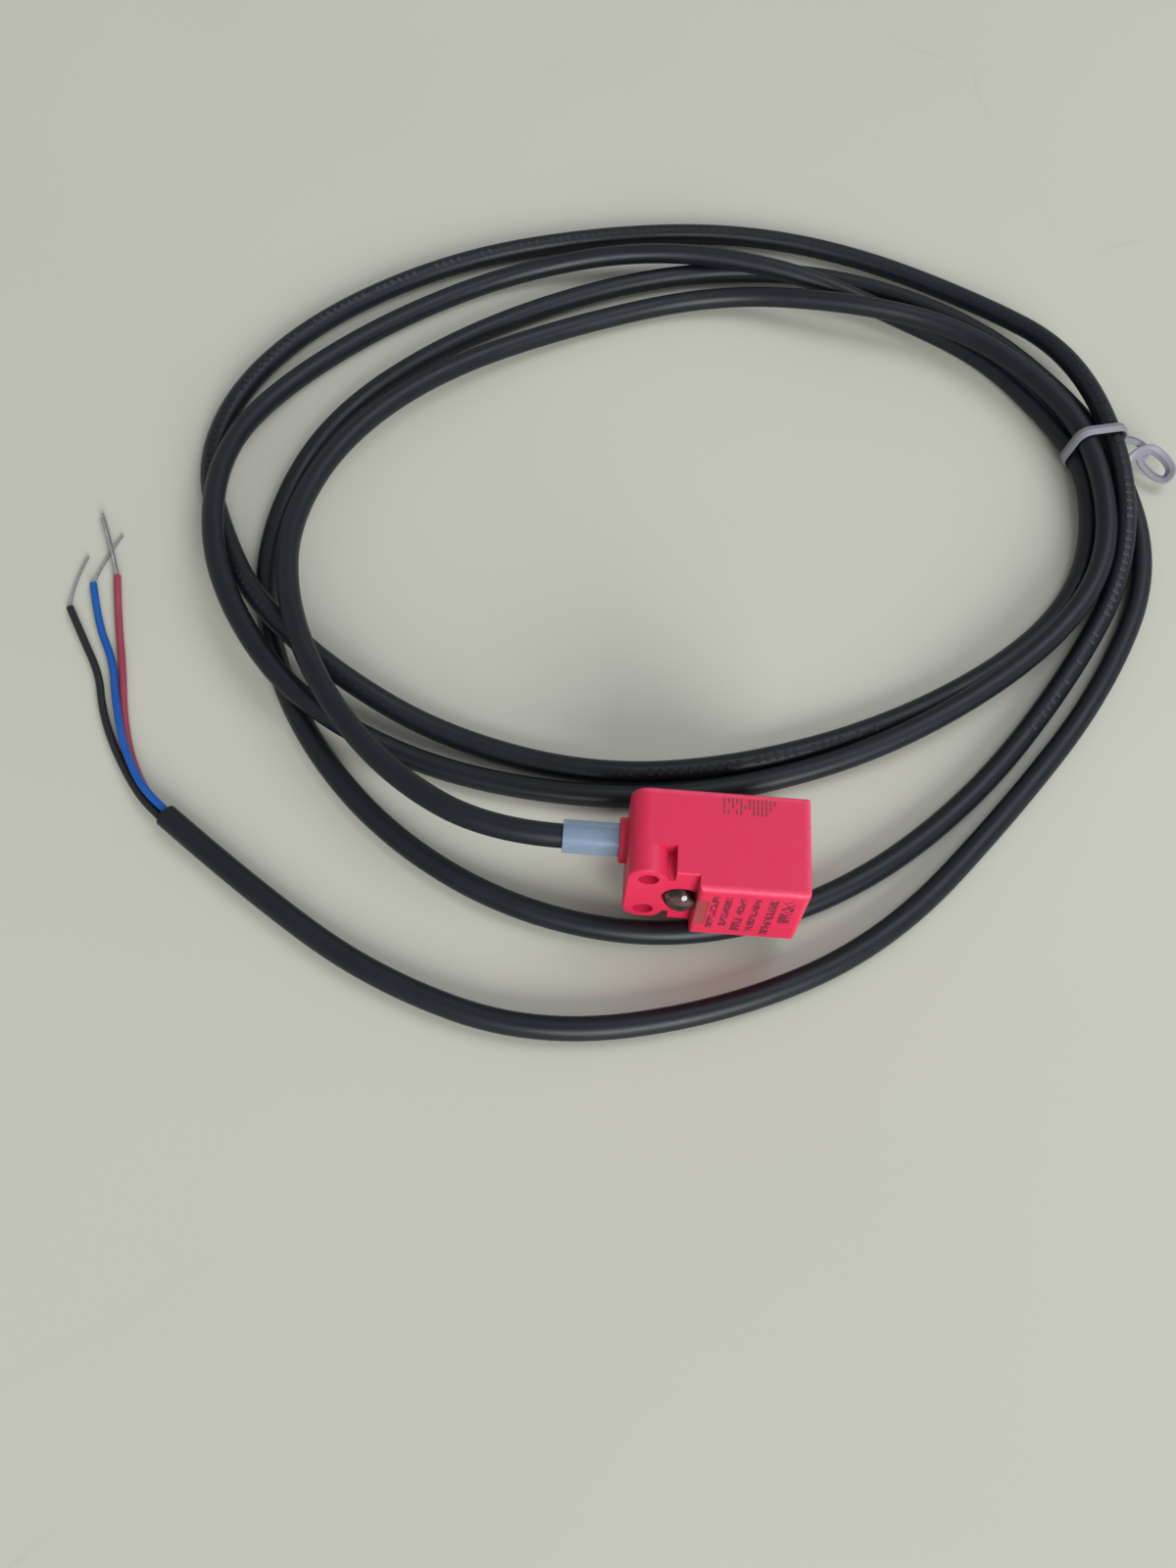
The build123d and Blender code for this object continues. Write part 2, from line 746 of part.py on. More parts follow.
export_step(housing.part, "parts/housing.step")
export_step(base_cover.part, "parts/base_cover.step")
export_step(potting_compound.part, "parts/potting_compound.step")
export_step(indicator_window.part, "parts/indicator_window.step")
export_step(indicator_lamp.part, "parts/indicator_lamp.step")
export_step(circuit_board.part, "parts/circuit_board.step")
export_step(oscillator_chip.part, "parts/oscillator_chip.step")
export_step(output_transistor.part, "parts/output_transistor.step")
export_step(chip_capacitors.part, "parts/chip_capacitors.step")
export_step(chip_resistors.part, "parts/chip_resistors.step")
export_step(surge_diodes.part, "parts/surge_diodes.step")
export_step(ferrite_core.part, "parts/ferrite_core.step")
export_step(coil_bobbin.part, "parts/coil_bobbin.step")
export_step(coil_winding.part, "parts/coil_winding.step")
export_step(coil_wires.part, "parts/coil_wires.step")
export_step(strain_relief_sleeve.part, "parts/strain_relief_sleeve.step")
export_step(cable_entry.part, "parts/cable_entry.step")
export_step(solder_joints.part, "parts/solder_joints.step")
export_step(twist_tie.part, "parts/twist_tie.step")
export_step(brown_wire, "parts/brown_wire.step")
export_step(black_wire, "parts/black_wire.step")
export_step(blue_wire, "parts/blue_wire.step")
export_step(cable, "parts/cable.step")
export_step(brown_core, "parts/brown_core.step")
export_step(black_core, "parts/black_core.step")
export_step(blue_core, "parts/blue_core.step")
export_step(brown_strands, "parts/brown_strands.step")
export_step(black_strands, "parts/black_strands.step")
export_step(blue_strands, "parts/blue_strands.step")
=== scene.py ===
import logging
import math
from dataclasses import dataclass, field
from enum import Enum
from typing import Any, Sequence

import bmesh
import bpy
import numpy as np
from mathutils import Matrix, Vector


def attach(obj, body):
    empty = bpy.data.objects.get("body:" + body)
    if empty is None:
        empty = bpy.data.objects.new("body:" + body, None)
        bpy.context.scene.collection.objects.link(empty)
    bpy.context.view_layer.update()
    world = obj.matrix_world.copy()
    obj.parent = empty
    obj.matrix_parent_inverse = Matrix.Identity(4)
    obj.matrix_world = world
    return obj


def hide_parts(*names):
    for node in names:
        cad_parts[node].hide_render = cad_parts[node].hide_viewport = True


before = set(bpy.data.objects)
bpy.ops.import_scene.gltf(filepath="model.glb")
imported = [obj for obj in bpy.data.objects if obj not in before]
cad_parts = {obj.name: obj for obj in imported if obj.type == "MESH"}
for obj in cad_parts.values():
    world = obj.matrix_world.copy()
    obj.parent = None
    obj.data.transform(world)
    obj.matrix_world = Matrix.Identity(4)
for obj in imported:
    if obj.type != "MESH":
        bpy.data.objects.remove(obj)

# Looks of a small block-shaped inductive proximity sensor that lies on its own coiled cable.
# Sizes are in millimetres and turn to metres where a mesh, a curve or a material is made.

MM = 0.001
ROOT = "root"
SURFACE = -12.8  # height of the table below the sensor's axis
CABLE_DIAMETER = 4.0
CABLE_TIP = (-104.0, 6.7)  # middle of the jacket's cut end
LAYER_PITCH = 4.2  # from a cable to the one that lies on it
CORE_DIAMETER = 1.35
SHARP_EDGE = math.radians(40)  # faces that meet at more than this keep a crisp edge
MERGED = 1e-6  # metres; corners nearer than this become one
TURNED_SIDES = 64  # of every turned shape

log = logging.getLogger("sensor")

Socket = bpy.types.NodeSocket
Tree = bpy.types.NodeTree
Material = bpy.types.Material
Piece = bpy.types.Object
Pair = tuple[float, float]
Triple = tuple[float, float, float]
Four = tuple[float, float, float, float]
Point = Sequence[float]
Shape = tuple[list[Vector], list[list[int]]]  # points, and faces as indices of them


class Slot(Enum):
    """Names of the record's material slots; a core's slot picks its insulation finish."""

    HOUSING = "housing_plastic"
    WINDOW = "window_plastic"
    LAMP = "lamp_epoxy"
    SLEEVE = "sleeve_pvc"
    JACKET = "jacket_pvc"
    BROWN = "brown_pvc"
    BLACK = "black_pvc"
    BLUE = "blue_pvc"
    TINNED = "tinned_copper"
    TIE = "tie_plastic"


# --- small tools ----------------------------------------------------------------------------------


def linear(code: str) -> Four:
    """Turns an sRGB hex colour into linear light.

    Args:
        code: six hex digits, with or without a leading #.

    Returns:
        Linear red, green and blue, and an alpha of 1.
    """
    digits = code.lstrip("#")
    shares = [int(digits[start:start + 2], 16) / 255 for start in (0, 2, 4)]
    light = [s / 12.92 if s <= 0.04045 else ((s + 0.055) / 1.055) ** 2.4 for s in shares]
    return (light[0], light[1], light[2], 1.0)


def add_node(tree: Tree, kind: str, inputs: dict[Any, Any] | None = None,
             **settings: Any) -> bpy.types.Node:
    """Adds one node with its settings, its values and its links.

    Args:
        tree: the material's or the geometry's node tree.
        kind: the node's type name.
        inputs: input name or number to a value, or to another node's output socket.
        **settings: the node's own properties.

    Returns:
        The new node.
    """
    made = tree.nodes.new(kind)
    for name, value in settings.items():
        setattr(made, name, value)
    for key, value in (inputs or {}).items():
        if isinstance(value, Socket):
            tree.links.new(value, made.inputs[key])
        else:
            made.inputs[key].default_value = value
    return made


def maths(tree: Tree, operation: str, *values: Any) -> Socket:
    """Adds a Math node over values or sockets, in the order of its inputs, and returns its result."""
    return add_node(tree, "ShaderNodeMath", dict(enumerate(values)), operation=operation).outputs[0]


def vector_maths(tree: Tree, operation: str, *values: Any) -> Socket:
    """Adds a Vector Math node and returns its result: a number for a dot product, else a vector."""
    made = add_node(tree, "ShaderNodeVectorMath", dict(enumerate(values)), operation=operation)
    return made.outputs["Value" if operation == "DOT_PRODUCT" else "Vector"]


def scaled(tree: Tree, vector: Socket, size: Any) -> Socket:
    """Adds a node that makes a vector size times as long."""
    return add_node(tree, "ShaderNodeVectorMath", {0: vector, "Scale": size}, operation="SCALE").outputs[0]


def per_mm(size: float) -> float:
    """Texture scale whose features are about size millimetres across."""
    return 1.0 / (size * MM)


def in_metres(point: Point) -> tuple[float, ...]:
    """A point or a set of sizes, in metres."""
    return tuple(c * MM for c in point)


def link_object(name: str, data: bpy.types.ID) -> Piece:
    """Puts a mesh or a curve in the scene, at the origin."""
    made = bpy.data.objects.new(name, data)
    bpy.context.scene.collection.objects.link(made)
    return made


def introduce(piece: Piece, node: str | None = None) -> None:
    """Hangs a new piece under the root and hides the CAD node it takes the place of.

    Args:
        piece: the piece.
        node: the CAD node it takes the place of, or None for an addition.
    """
    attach(piece, ROOT)
    if node is not None:
        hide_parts(node)
    log.info("made %s", piece.name)


def mesh_object(name: str, shapes: Sequence[tuple[int, Shape]], materials: Sequence[Material],
                smooth: bool = True) -> Piece:
    """Makes one mesh piece out of shapes in millimetres.

    Args:
        name: the piece's name.
        shapes: each shape with the number of its material.
        materials: the piece's materials.
        smooth: whether faces that meet gently are shaded as one.

    Returns:
        The new object, with doubles merged and faces pointing outwards.
    """
    points: list[tuple[float, ...]] = []
    faces: list[list[int]] = []
    numbers: list[int] = []
    for number, (some, sides) in shapes:
        faces += [[corner + len(points) for corner in side] for side in sides]
        numbers += [number] * len(sides)
        points += [in_metres(point) for point in some]
    mesh = bpy.data.meshes.new(name)
    mesh.from_pydata(points, [], faces)
    for material in materials:
        mesh.materials.append(material)
    mesh.polygons.foreach_set("material_index", numbers)
    work = bmesh.new()
    work.from_mesh(mesh)
    bmesh.ops.remove_doubles(work, verts=work.verts, dist=MERGED)
    bmesh.ops.recalc_face_normals(work, faces=work.faces)
    for face in work.faces:
        face.smooth = smooth
    for edge in work.edges:
        if len(edge.link_faces) == 2 and edge.calc_face_angle() > SHARP_EDGE:
            edge.smooth = False
    work.to_mesh(mesh)
    work.free()
    return link_object(name, mesh)


def skinned(rings: Sequence[Sequence[Vector]], closed: bool = False, capped: bool = True) -> Shape:
    """Joins rings of equally many points into a skin.

    Args:
        rings: the rings, in order.
        closed: whether the last ring joins the first.
        capped: whether the first and the last ring are faces too.

    Returns:
        The skin's points and faces.
    """
    count = len(rings[0])
    faces = []
    for ring in range(len(rings) if closed else len(rings) - 1):
        start, after = ring * count, (ring + 1) % len(rings) * count
        for side in range(count):
            beyond = (side + 1) % count
            faces.append([start + side, start + beyond, after + beyond, after + side])
    if capped and not closed:
        last = (len(rings) - 1) * count
        faces += [list(range(count)), list(range(last, last + count))]
    return [point for ring in rings for point in ring], faces


def lathe(profile: Sequence[Pair], origin: Point, axis: Point) -> Shape:
    """Turns a profile about an axis.

    Args:
        profile: (distance along the axis, radius) pairs; a radius of 0 closes the shape there.
        origin: a point on the axis.
        axis: the axis's direction.

    Returns:
        Points and faces.
    """
    turn = Vector(axis).normalized().to_track_quat("Z", "Y").to_matrix()
    angles = [2 * math.pi * step / TURNED_SIDES for step in range(TURNED_SIDES)]
    rings = [[Vector(origin) + turn @ Vector((radius * math.cos(a), radius * math.sin(a), along))
              for a in angles] for along, radius in profile]
    return skinned(rings, capped=False)


def swept(line: Sequence[Vector], across: Sequence[Vector], through: Sequence[Vector],
          section: Sequence[Pair], closed: bool) -> Shape:
    """Carries a flat section along a line.

    Args:
        line: the line's points.
        across: at each point, the direction of the section's width.
        through: at each point, the direction of the section's thickness.
        section: (width, thickness) pairs round the section.
        closed: whether the line's end joins its start.

    Returns:
        Points and faces, with end caps on an open line.
    """
    rings = [[centre + wide * a + thick * b for a, b in section]
             for centre, wide, thick in zip(line, across, through)]
    return skinned(rings, closed)


def smooth_line(knots: Sequence[Vector], steps: int) -> list[Vector]:
    """Points of a smooth line (Catmull-Rom) from the second knot until a step before the last but one.

    Args:
        knots: the points it passes, and one beyond each end that gives it its direction there.
        steps: how many points it gets from one knot to the next.

    Returns:
        The line's points.
    """
    line = []
    for before, here, after, beyond in zip(knots, knots[1:], knots[2:], knots[3:]):
        for share in np.linspace(0.0, 1.0, steps, endpoint=False):
            t = float(share)
            line.append(0.5 * (2 * here + (after - before) * t
                               + (2 * before - 5 * here + 4 * after - beyond) * t ** 2
                               + (3 * here - before - 3 * after + beyond) * t ** 3))
    return line


def route_curve(name: str, points: Sequence[Point], diameter: float = 0.0,
                material: Material | None = None, steps: int = 10) -> Piece:
    """Makes a smooth cord along a route.

    Args:
        name: the piece's name.
        points: the route's points, in millimetres.
        diameter: the cord's diameter, or 0 for its bare line.
        material: its material.
        steps: segments per point of the route.

    Returns:
        The curve object.
    """
    data = bpy.data.curves.new(name, "CURVE")
    data.dimensions = "3D"
    data.resolution_u = steps
    data.bevel_depth = diameter / 2 * MM
    data.bevel_resolution = 6
    data.use_fill_caps = True
    spline = data.splines.new("NURBS")
    spline.points.add(len(points) - 1)
    for place, point in zip(spline.points, points):
        place.co = (*in_metres(point), 1.0)
    spline.order_u = 3
    spline.use_endpoint_u = True
    if material is not None:
        data.materials.append(material)
    return link_object(name, data)


def grow(source: Piece, name: str, tree: Tree, values: dict[str, Any]) -> Piece:
    """Runs a Geometry Nodes tree on an object and keeps the result as a plain mesh.

    Args:
        source: the object that the tree reads; it is used up.
        name: the new piece's name.
        tree: the geometry node tree.
        values: input name to value.

    Returns:
        The new mesh piece.
    """
    modifier = source.modifiers.new("grown", "NODES")
    modifier.node_group = tree
    for item in tree.interface.items_tree:
        if item.in_out == "INPUT" and item.name in values:
            modifier[item.identifier] = values[item.name]
    bpy.context.view_layer.update()
    shown = source.evaluated_get(bpy.context.evaluated_depsgraph_get())
    mesh = bpy.data.meshes.new_from_object(shown)
    mesh.name = name
    bpy.data.objects.remove(source, do_unlink=True)
    return link_object(name, mesh)


def full_turn(steps: int) -> list[float]:
    """Angles of a full turn, from 0 up, without its end."""
    return [float(a) for a in np.linspace(0.0, 2 * math.pi, steps, endpoint=False)]


def quarter_turn(steps: int) -> list[float]:
    """Angles of a quarter turn, from 0 up to its end."""
    return [float(a) for a in np.linspace(0.0, math.pi / 2, steps)]


def above_table(route: Sequence[Point]) -> list[Triple]:
    """Turns x, y and height above the table into points."""
    return [(x, y, SURFACE + height) for x, y, height in route]


# --- finishes -------------------------------------------------------------------------------------


@dataclass
class Shading:
    """One material's node tree, its shader, and the place on the object that its textures read."""

    tree: Tree
    shader: bpy.types.Node
    place: Socket

    def fix(self, values: dict[str, Any]) -> None:
        """Sets inputs of the shader that are the same all over."""
        for name, value in values.items():
            self.shader.inputs[name].default_value = value

    def feed(self, name: str, source: Socket) -> None:
        """Links an input of the shader that differs from place to place."""
        self.tree.links.new(source, self.shader.inputs[name])

    def noise(self, size: float, detail: float, roughness: float = 0.5, distortion: float = 0.0) -> Socket:
        """Noise from 0 to 1 with features about size millimetres across."""
        return add_node(self.tree, "ShaderNodeTexNoise", {
            "Vector": self.place, "Scale": per_mm(size), "Detail": detail, "Roughness": roughness,
            "Distortion": distortion}).outputs["Fac"]

    def cell_edges(self, place: Socket, size: float, randomness: float = 1.0) -> Socket:
        """Distance to the edges of cells about size millimetres across."""
        return add_node(self.tree, "ShaderNodeTexVoronoi", {
            "Vector": place, "Scale": per_mm(size), "Randomness": randomness},
            feature="DISTANCE_TO_EDGE").outputs["Distance"]

    def ramp(self, value: Socket, low: float, high: float, start: float, end: float) -> Socket:
        """Runs from start to end while the value runs from low to high."""
        return add_node(self.tree, "ShaderNodeMapRange", {
            "Value": value, "From Min": low, "From Max": high, "To Min": start,
            "To Max": end}).outputs["Result"]

    def roughen(self, source: Socket, middle: float, less: float, more: float) -> None:
        """Lets the roughness wander with a noise, from middle - less to middle + more."""
        self.feed("Roughness", self.ramp(source, 0.3, 0.7, middle - less, middle + more))

    def blend(self, share: Socket, first: Any, second: str) -> Socket:
        """Goes from the first colour to the second; a colour is a hex code, the first also a socket."""
        return add_node(self.tree, "ShaderNodeMix", {
            "Factor": share, "A": linear(first) if isinstance(first, str) else first,
            "B": linear(second)}, data_type="RGBA").outputs[2]

    def bump(self, height: Socket, strength: float, depth: float, under: Socket | None = None) -> Socket:
        """Lets the surface rise and fall by depth millimetres, on top of another bump if given."""
        inputs = {"Height": height, "Strength": strength, "Distance": depth * MM}
        if under is not None:
            inputs["Normal"] = under
        return add_node(self.tree, "ShaderNodeBump", inputs).outputs["Normal"]


@dataclass(frozen=True)
class Finish:
    """What every finish shares: a name, a colour and a roughness."""

    name: str
    colour: str
    roughness: float

    def make(self) -> Material:
        """Builds the material and returns it."""
        material = bpy.data.materials.new(self.name)
        material.use_nodes = True
        material.diffuse_color = linear(self.colour)
        tree = material.node_tree
        place = add_node(tree, "ShaderNodeTexCoord").outputs["Object"]
        on = Shading(tree, tree.nodes["Principled BSDF"], place)
        on.fix({"Base Color": linear(self.colour), "Roughness": self.roughness})
        self.dress(on)
        return material

    def dress(self, on: Shading) -> None:
        """Adds what this finish has beyond a plain colour."""


@dataclass(frozen=True)
class MouldedPlastic(Finish):
    """Injection-moulded thermoplastic: a matt skin from a spark-eroded mould, faintly uneven."""

    shade: str  # colour of the slightly darker flow marks
    grain: float = 0.16  # mould texture; real grit is about 0.05 mm, too fine to show
    grain_height: float = 0.004

    def dress(self, on: Shading) -> None:
        """Adds flow marks, mould grain and a roughness that wanders with handling."""
        on.fix({"IOR": 1.55})
        on.feed("Base Color", on.blend(on.noise(7.0, 3.0), self.colour, self.shade))
        on.roughen(on.noise(2.5, 4.0), self.roughness, 0.06, 0.06)
        grit = on.noise(self.grain, 2.0, roughness=0.6)
        on.feed("Normal", on.bump(grit, 0.35, self.grain_height))


@dataclass(frozen=True)
class HousingPlastic(Finish):
    """Pigmented PBT: fine satin grain, edges painted lighter as wear and as painted edge highlight, flow
    marks and faint sinks.
    """

    shade: str
    # lighter colour painted along the edges: partly wear, partly painted edge highlight
    edge_wear_and_highlight: str  # colour of the edges
    half: Triple  # half sizes of the block that the edges belong to
    centre: Triple

    def edge_share(self, on: Shading) -> Socket:
        """Share from 0 to 1 of how near a point is to one of the block's edges."""
        folded = vector_maths(on.tree, "ABSOLUTE",
                              vector_maths(on.tree, "SUBTRACT", on.place, in_metres(self.centre)))
        inward = vector_maths(on.tree, "SUBTRACT", in_metres(self.half), folded)
        parts = add_node(on.tree, "ShaderNodeSeparateXYZ", {0: inward}).outputs
        total = vector_maths(on.tree, "DOT_PRODUCT", inward, (1.0, 1.0, 1.0))
        wider = maths(on.tree, "MAXIMUM", parts[0], parts[1])
        nearest_two = maths(on.tree, "SUBTRACT", total, maths(on.tree, "MAXIMUM", wider, parts[2]))
        return on.ramp(nearest_two, 0.25 * MM, 1.1 * MM, 1.0, 0.0)

    def dress(self, on: Shading) -> None:
        """Adds flow marks, edges painted lighter as wear and as painted highlight, and a grain over shallow
        sinks.
        """
        on.fix({"IOR": 1.55, "Specular IOR Level": 0.3, "Subsurface Weight": 0.06,
                "Subsurface Radius": (0.0012, 0.0004, 0.0004)})
        toned = on.blend(on.noise(9.0, 4.0, distortion=0.4), self.colour, self.shade)
        # painted edge highlight and wear: the block's edges lighter, broken up by noise
        wear_and_highlight_share = maths(on.tree, "MULTIPLY", self.edge_share(on), on.noise(0.8, 3.0))
        on.feed("Base Color", on.blend(wear_and_highlight_share, toned, self.edge_wear_and_highlight))
        on.roughen(on.noise(3.0, 5.0), self.roughness, 0.07, 0.07)
        sunk = on.bump(on.noise(4.5, 1.0), 0.5, 0.015)
        # mould grit is about 0.05 mm; drawn at 0.14 mm so that it shows
        on.feed("Normal", on.bump(on.noise(0.14, 2.0), 0.4, 0.005, under=sunk))


@dataclass(frozen=True)
class ExtrudedPvc(Finish):
    """Plasticised PVC from an extruder: soft satin gloss, a fine grain, a bloom of dust."""

    dust: str
    dust_share: float = 0.25

    def dress(self, on: Shading) -> None:
        """Adds the bloom, uneven gloss and a skin that ripples slightly."""
        on.fix({"IOR": 1.53, "Specular IOR Level": 0.3})
        bloom = on.noise(11.0, 5.0, roughness=0.65)
        share = on.ramp(bloom, 0.42, 0.75, 0.0, self.dust_share)
        on.feed("Base Color", on.blend(share, self.colour, self.dust))
        on.roughen(bloom, self.roughness, 0.05, 0.08)
        wave = on.bump(on.noise(3.2, 1.0), 0.4, 0.05)
        on.feed("Normal", on.bump(on.noise(0.3, 2.0), 0.3, 0.006, under=wave))


@dataclass(frozen=True)
class ClearPlastic(Finish):
    """Transparent plastic: bends light, with a little haze."""

    transmission: float
    ior: float
    haze: float = 0.08

    def dress(self, on: Shading) -> None:
        """Adds the transmission, cloudy haze and a barely uneven surface."""
        on.fix({"Transmission Weight": self.transmission, "IOR": self.ior})
        cloud = on.noise(1.6, 4.0)
        on.feed("Roughness", on.ramp(cloud, 0.3, 0.75, self.roughness, self.roughness + self.haze))
        on.feed("Normal", on.bump(cloud, 0.3, 0.01))


@dataclass(frozen=True)
class Metal(Finish):
    """Bright metal with a fine uneven grain and duller patches."""

    tarnish: str
    scratch: float = 0.2  # size of the grain

    def dress(self, on: Shading) -> None:
        """Adds tarnish, uneven gloss and the grain."""
        on.fix({"Metallic": 1.0})
        stain = on.noise(1.2, 4.0)
        on.feed("Base Color", on.blend(stain, self.colour, self.tarnish))
        on.roughen(stain, self.roughness, 0.08, 0.12)
        on.feed("Normal", on.bump(on.noise(self.scratch, 2.0), 0.3, 0.008))


@dataclass(frozen=True)
class WoundWire(Finish):
    """Enamelled copper wire wound in layers, drawn as coarse ridges with painted shade between them."""

    groove_shade: str
    ridge: float = 0.32  # a ridge is 2 pi times this wide; the real 0.1 mm wire is too fine to show

    def dress(self, on: Shading) -> None:
        """Adds the ridges and the painted shade in the grooves between them."""
        on.fix({"Metallic": 0.7, "Coat Weight": 0.6})
        # the wave texture multiplies its scale by 20
        turns = add_node(on.tree, "ShaderNodeTexWave", {
            "Vector": on.place, "Scale": per_mm(self.ridge) / 20, "Distortion": 0.4, "Detail": 1.0},
            wave_type="BANDS", bands_direction="X", wave_profile="SIN").outputs["Fac"]
        on.feed("Base Color", on.blend(turns, self.groove_shade, self.colour))
        on.feed("Normal", on.bump(turns, 0.7, 0.1))


@dataclass(frozen=True)
class SolderMask(Finish):
    """Green solder resist over copper: tracks stand a hair proud and show lighter."""

    track: str
    track_pitch: float = 2.2

    def dress(self, on: Shading) -> None:
        """Adds the copper tracks under the resist."""
        on.fix({"IOR": 1.5, "Coat Weight": 0.5})
        track = on.ramp(on.cell_edges(on.place, self.track_pitch, 0.6), 0.08, 0.12, 1.0, 0.0)
        on.feed("Base Color", on.blend(track, self.colour, self.track))
        on.feed("Normal", on.bump(track, 0.6, 0.035))


@dataclass(frozen=True)
class TableTop(Finish):
    """Pale laminate: nearly even, with a soft mottle and a few hair scratches."""

    mottle: str
    scratch: str

    def dress(self, on: Shading) -> None:
        """Adds the mottle and the scratches."""
        toned = on.blend(on.noise(160.0, 4.0), self.colour, self.mottle)
        bent = add_node(on.tree, "ShaderNodeTexNoise", {"Vector": on.place, "Scale": per_mm(60.0),
                                                        "Detail": 2.0}).outputs["Color"]
        shift = vector_maths(on.tree, "MULTIPLY", bent, (0.02, 0.02, 0.0))
        moved = vector_maths(on.tree, "ADD", on.place, shift)
        line = on.ramp(on.cell_edges(moved, 85.0), 0.0, 0.006, 1.0, 0.0)
        where = on.ramp(on.noise(40.0, 3.0), 0.55, 0.7, 0.0, 0.12)
        on.feed("Base Color", on.blend(maths(on.tree, "MULTIPLY", line, where), toned, self.scratch))


# Glass-filled PBT, injection moulded: a hot coral red with a satin skin.
# Its edges are painted lighter, partly as wear and partly as painted edge highlight.
CORAL_PBT = HousingPlastic("pbt_moulded_coral", "#D3284F", 0.48, "#CB244A", "#EC5677",
                           half=(14.0, 8.5, 8.5), centre=(-14.0, 0.0, 0.0))
# Clear polycarbonate, moulded: sharp gleams, faintly smoky from its thickness.
CLEAR_POLYCARBONATE = ClearPlastic("polycarbonate_clear_moulded", "#92706F", 0.07, 1.0, 1.58)
# The same polycarbonate as a flat strip against the coral wall: reads brownish red.
TINTED_POLYCARBONATE = ClearPlastic("polycarbonate_strip_moulded", "#B8474A", 0.16, 0.35, 1.5)
# Epoxy cast round the lamp's lead frame: water clear.
LAMP_EPOXY = ClearPlastic("epoxy_cast_clear", "#F2F0EE", 0.02, 1.0, 1.54, haze=0.03)
# Natural soft PVC tube: cloudy, cool blue-grey over the black cable inside.
SLEEVE_PVC = ClearPlastic("pvc_extruded_translucent", "#BAD0EA", 0.22, 0.72, 1.40, haze=0.03)
# Carbon-black PVC jacket: satin, its colour and dust tinted bluish all over as a painted reflection of the
# sky.
JACKET_PVC = ExtrudedPvc("pvc_jacket_black", "#0C121A", 0.42, "#18212B")
# Raised jacket print: the same PVC pressed smoother by the marking wheel.
JACKET_MARK = ExtrudedPvc("pvc_jacket_embossed", "#14191E", 0.34, "#20262C")
# Insulation of the cores: thin soft PVC, coloured through, a little dusty.
BROWN_PVC = ExtrudedPvc("pvc_insulation_brown", "#8E3646", 0.40, "#A65C6A", dust_share=0.35)
BLUE_PVC = ExtrudedPvc("pvc_insulation_blue", "#0B4FA0", 0.38, "#2A66AE", dust_share=0.3)
BLACK_PVC = ExtrudedPvc("pvc_insulation_black", "#1B1B1F", 0.42, "#303036", dust_share=0.3)
# Tinned copper strands: pale grey metal, dull in the grooves.
TINNED_COPPER = Metal("copper_tinned_stranded", "#C9C7C4", 0.32, "#8E8C8A", scratch=0.08)
# Soft grey PE strip over a wire: chalky, a touch lilac.
TIE_STRIP = MouldedPlastic("polyethylene_extruded_grey", "#84838D", 0.50, "#75747E", grain=0.25)
# Pad-printed ink: dark wine on the coral skin, slightly matt.
LABEL_INK = MouldedPlastic("ink_pad_printed_dark", "#3E0F1E", 0.55, "#541628", grain=0.2)
# Ink-jet code: thinner, so the coral shows through.
CODE_INK = MouldedPlastic("ink_jetted_thin", "#6A1A30", 0.58, "#8A2440", grain=0.2)
# Epoxy poured into the cavity: black and glossy, with a slow unevenness.
POTTING = MouldedPlastic("epoxy_potting_black", "#1B1B1D", 0.22, "#232326", grain=0.9)
# Epoxy moulding compound of chips and transistors: matt black.
CHIP_EPOXY = MouldedPlastic("epoxy_moulding_compound", "#141416", 0.55, "#1E1E21", grain=0.12)
# Barium titanate, sintered: tan and satin.
CHIP_CERAMIC = MouldedPlastic("barium_titanate_sintered", "#9C7B5B", 0.42, "#866648", grain=0.2)
# Ferrite, sintered and ground: dark grey with a coarse grain.
FERRITE = MouldedPlastic("ferrite_sintered_ground", "#2A2B2E", 0.48, "#1F2022", grain=0.3,
                         grain_height=0.01)
# Unfilled nylon, moulded: ivory.
BOBBIN_NYLON = MouldedPlastic("nylon_moulded_natural", "#E3DECB", 0.40, "#D6CFB8")
# Enamelled copper: orange-brown; the winding with painted shade between its ridges, and its two leads.
COPPER_WIRE = WoundWire("copper_enamelled_wound", "#B4602A", 0.28, "#3A1A0C")
COPPER_LEAD = Metal("copper_enamelled_lead", "#B4602A", 0.30, "#7C3B18")
# Tin solder, reflowed: bright, with a grey bloom.
SOLDER = Metal("tin_solder_reflowed", "#D2D2D4", 0.22, "#9FA0A4")
# Silver-plated steel of the lamp's leads and cup.
LEAD_FRAME = Metal("steel_silver_plated", "#E2E2E6", 0.16, "#B4B4BA")
# Glass-epoxy board under green resist.
BOARD = SolderMask("glass_epoxy_solder_mask", "#0E4A2C", 0.30, "#1F7A49")
# The lamp's semiconductor die: brownish grey.
LAMP_DIE = MouldedPlastic("gallium_arsenide_die", "#6B5A3C", 0.3, "#54462E")
# Laminate: pale warm grey, almost even.
TABLE = TableTop("laminate_pale_grey", "#C0BFB2", 0.6, "#B6B6AA", "#8A8980")


# --- geometry node trees --------------------------------------------------------------------------


@dataclass(frozen=True)
class BarPattern:
    """How small raised bars stand along a line, in millimetres."""

    pitch: float
    stroke: float
    thickness: float
    keep: float  # share of the bars that are there
    facing: Triple
    seed: int
    offset: float = 0.0  # from the line, towards facing
    start: float = 0.0
    end: float = 1000.0  # beyond the end of any line of print

    def inputs(self) -> dict[str, Any]:
        """The bar tree's inputs, in metres."""
        sizes = {"Pitch": self.pitch, "Stroke": self.stroke, "Thickness": self.thickness,
                 "Offset": self.offset, "Start": self.start, "End": self.end}
        return {**{name: size * MM for name, size in sizes.items()},
                "Keep": self.keep, "Facing": self.facing, "Seed": self.seed}


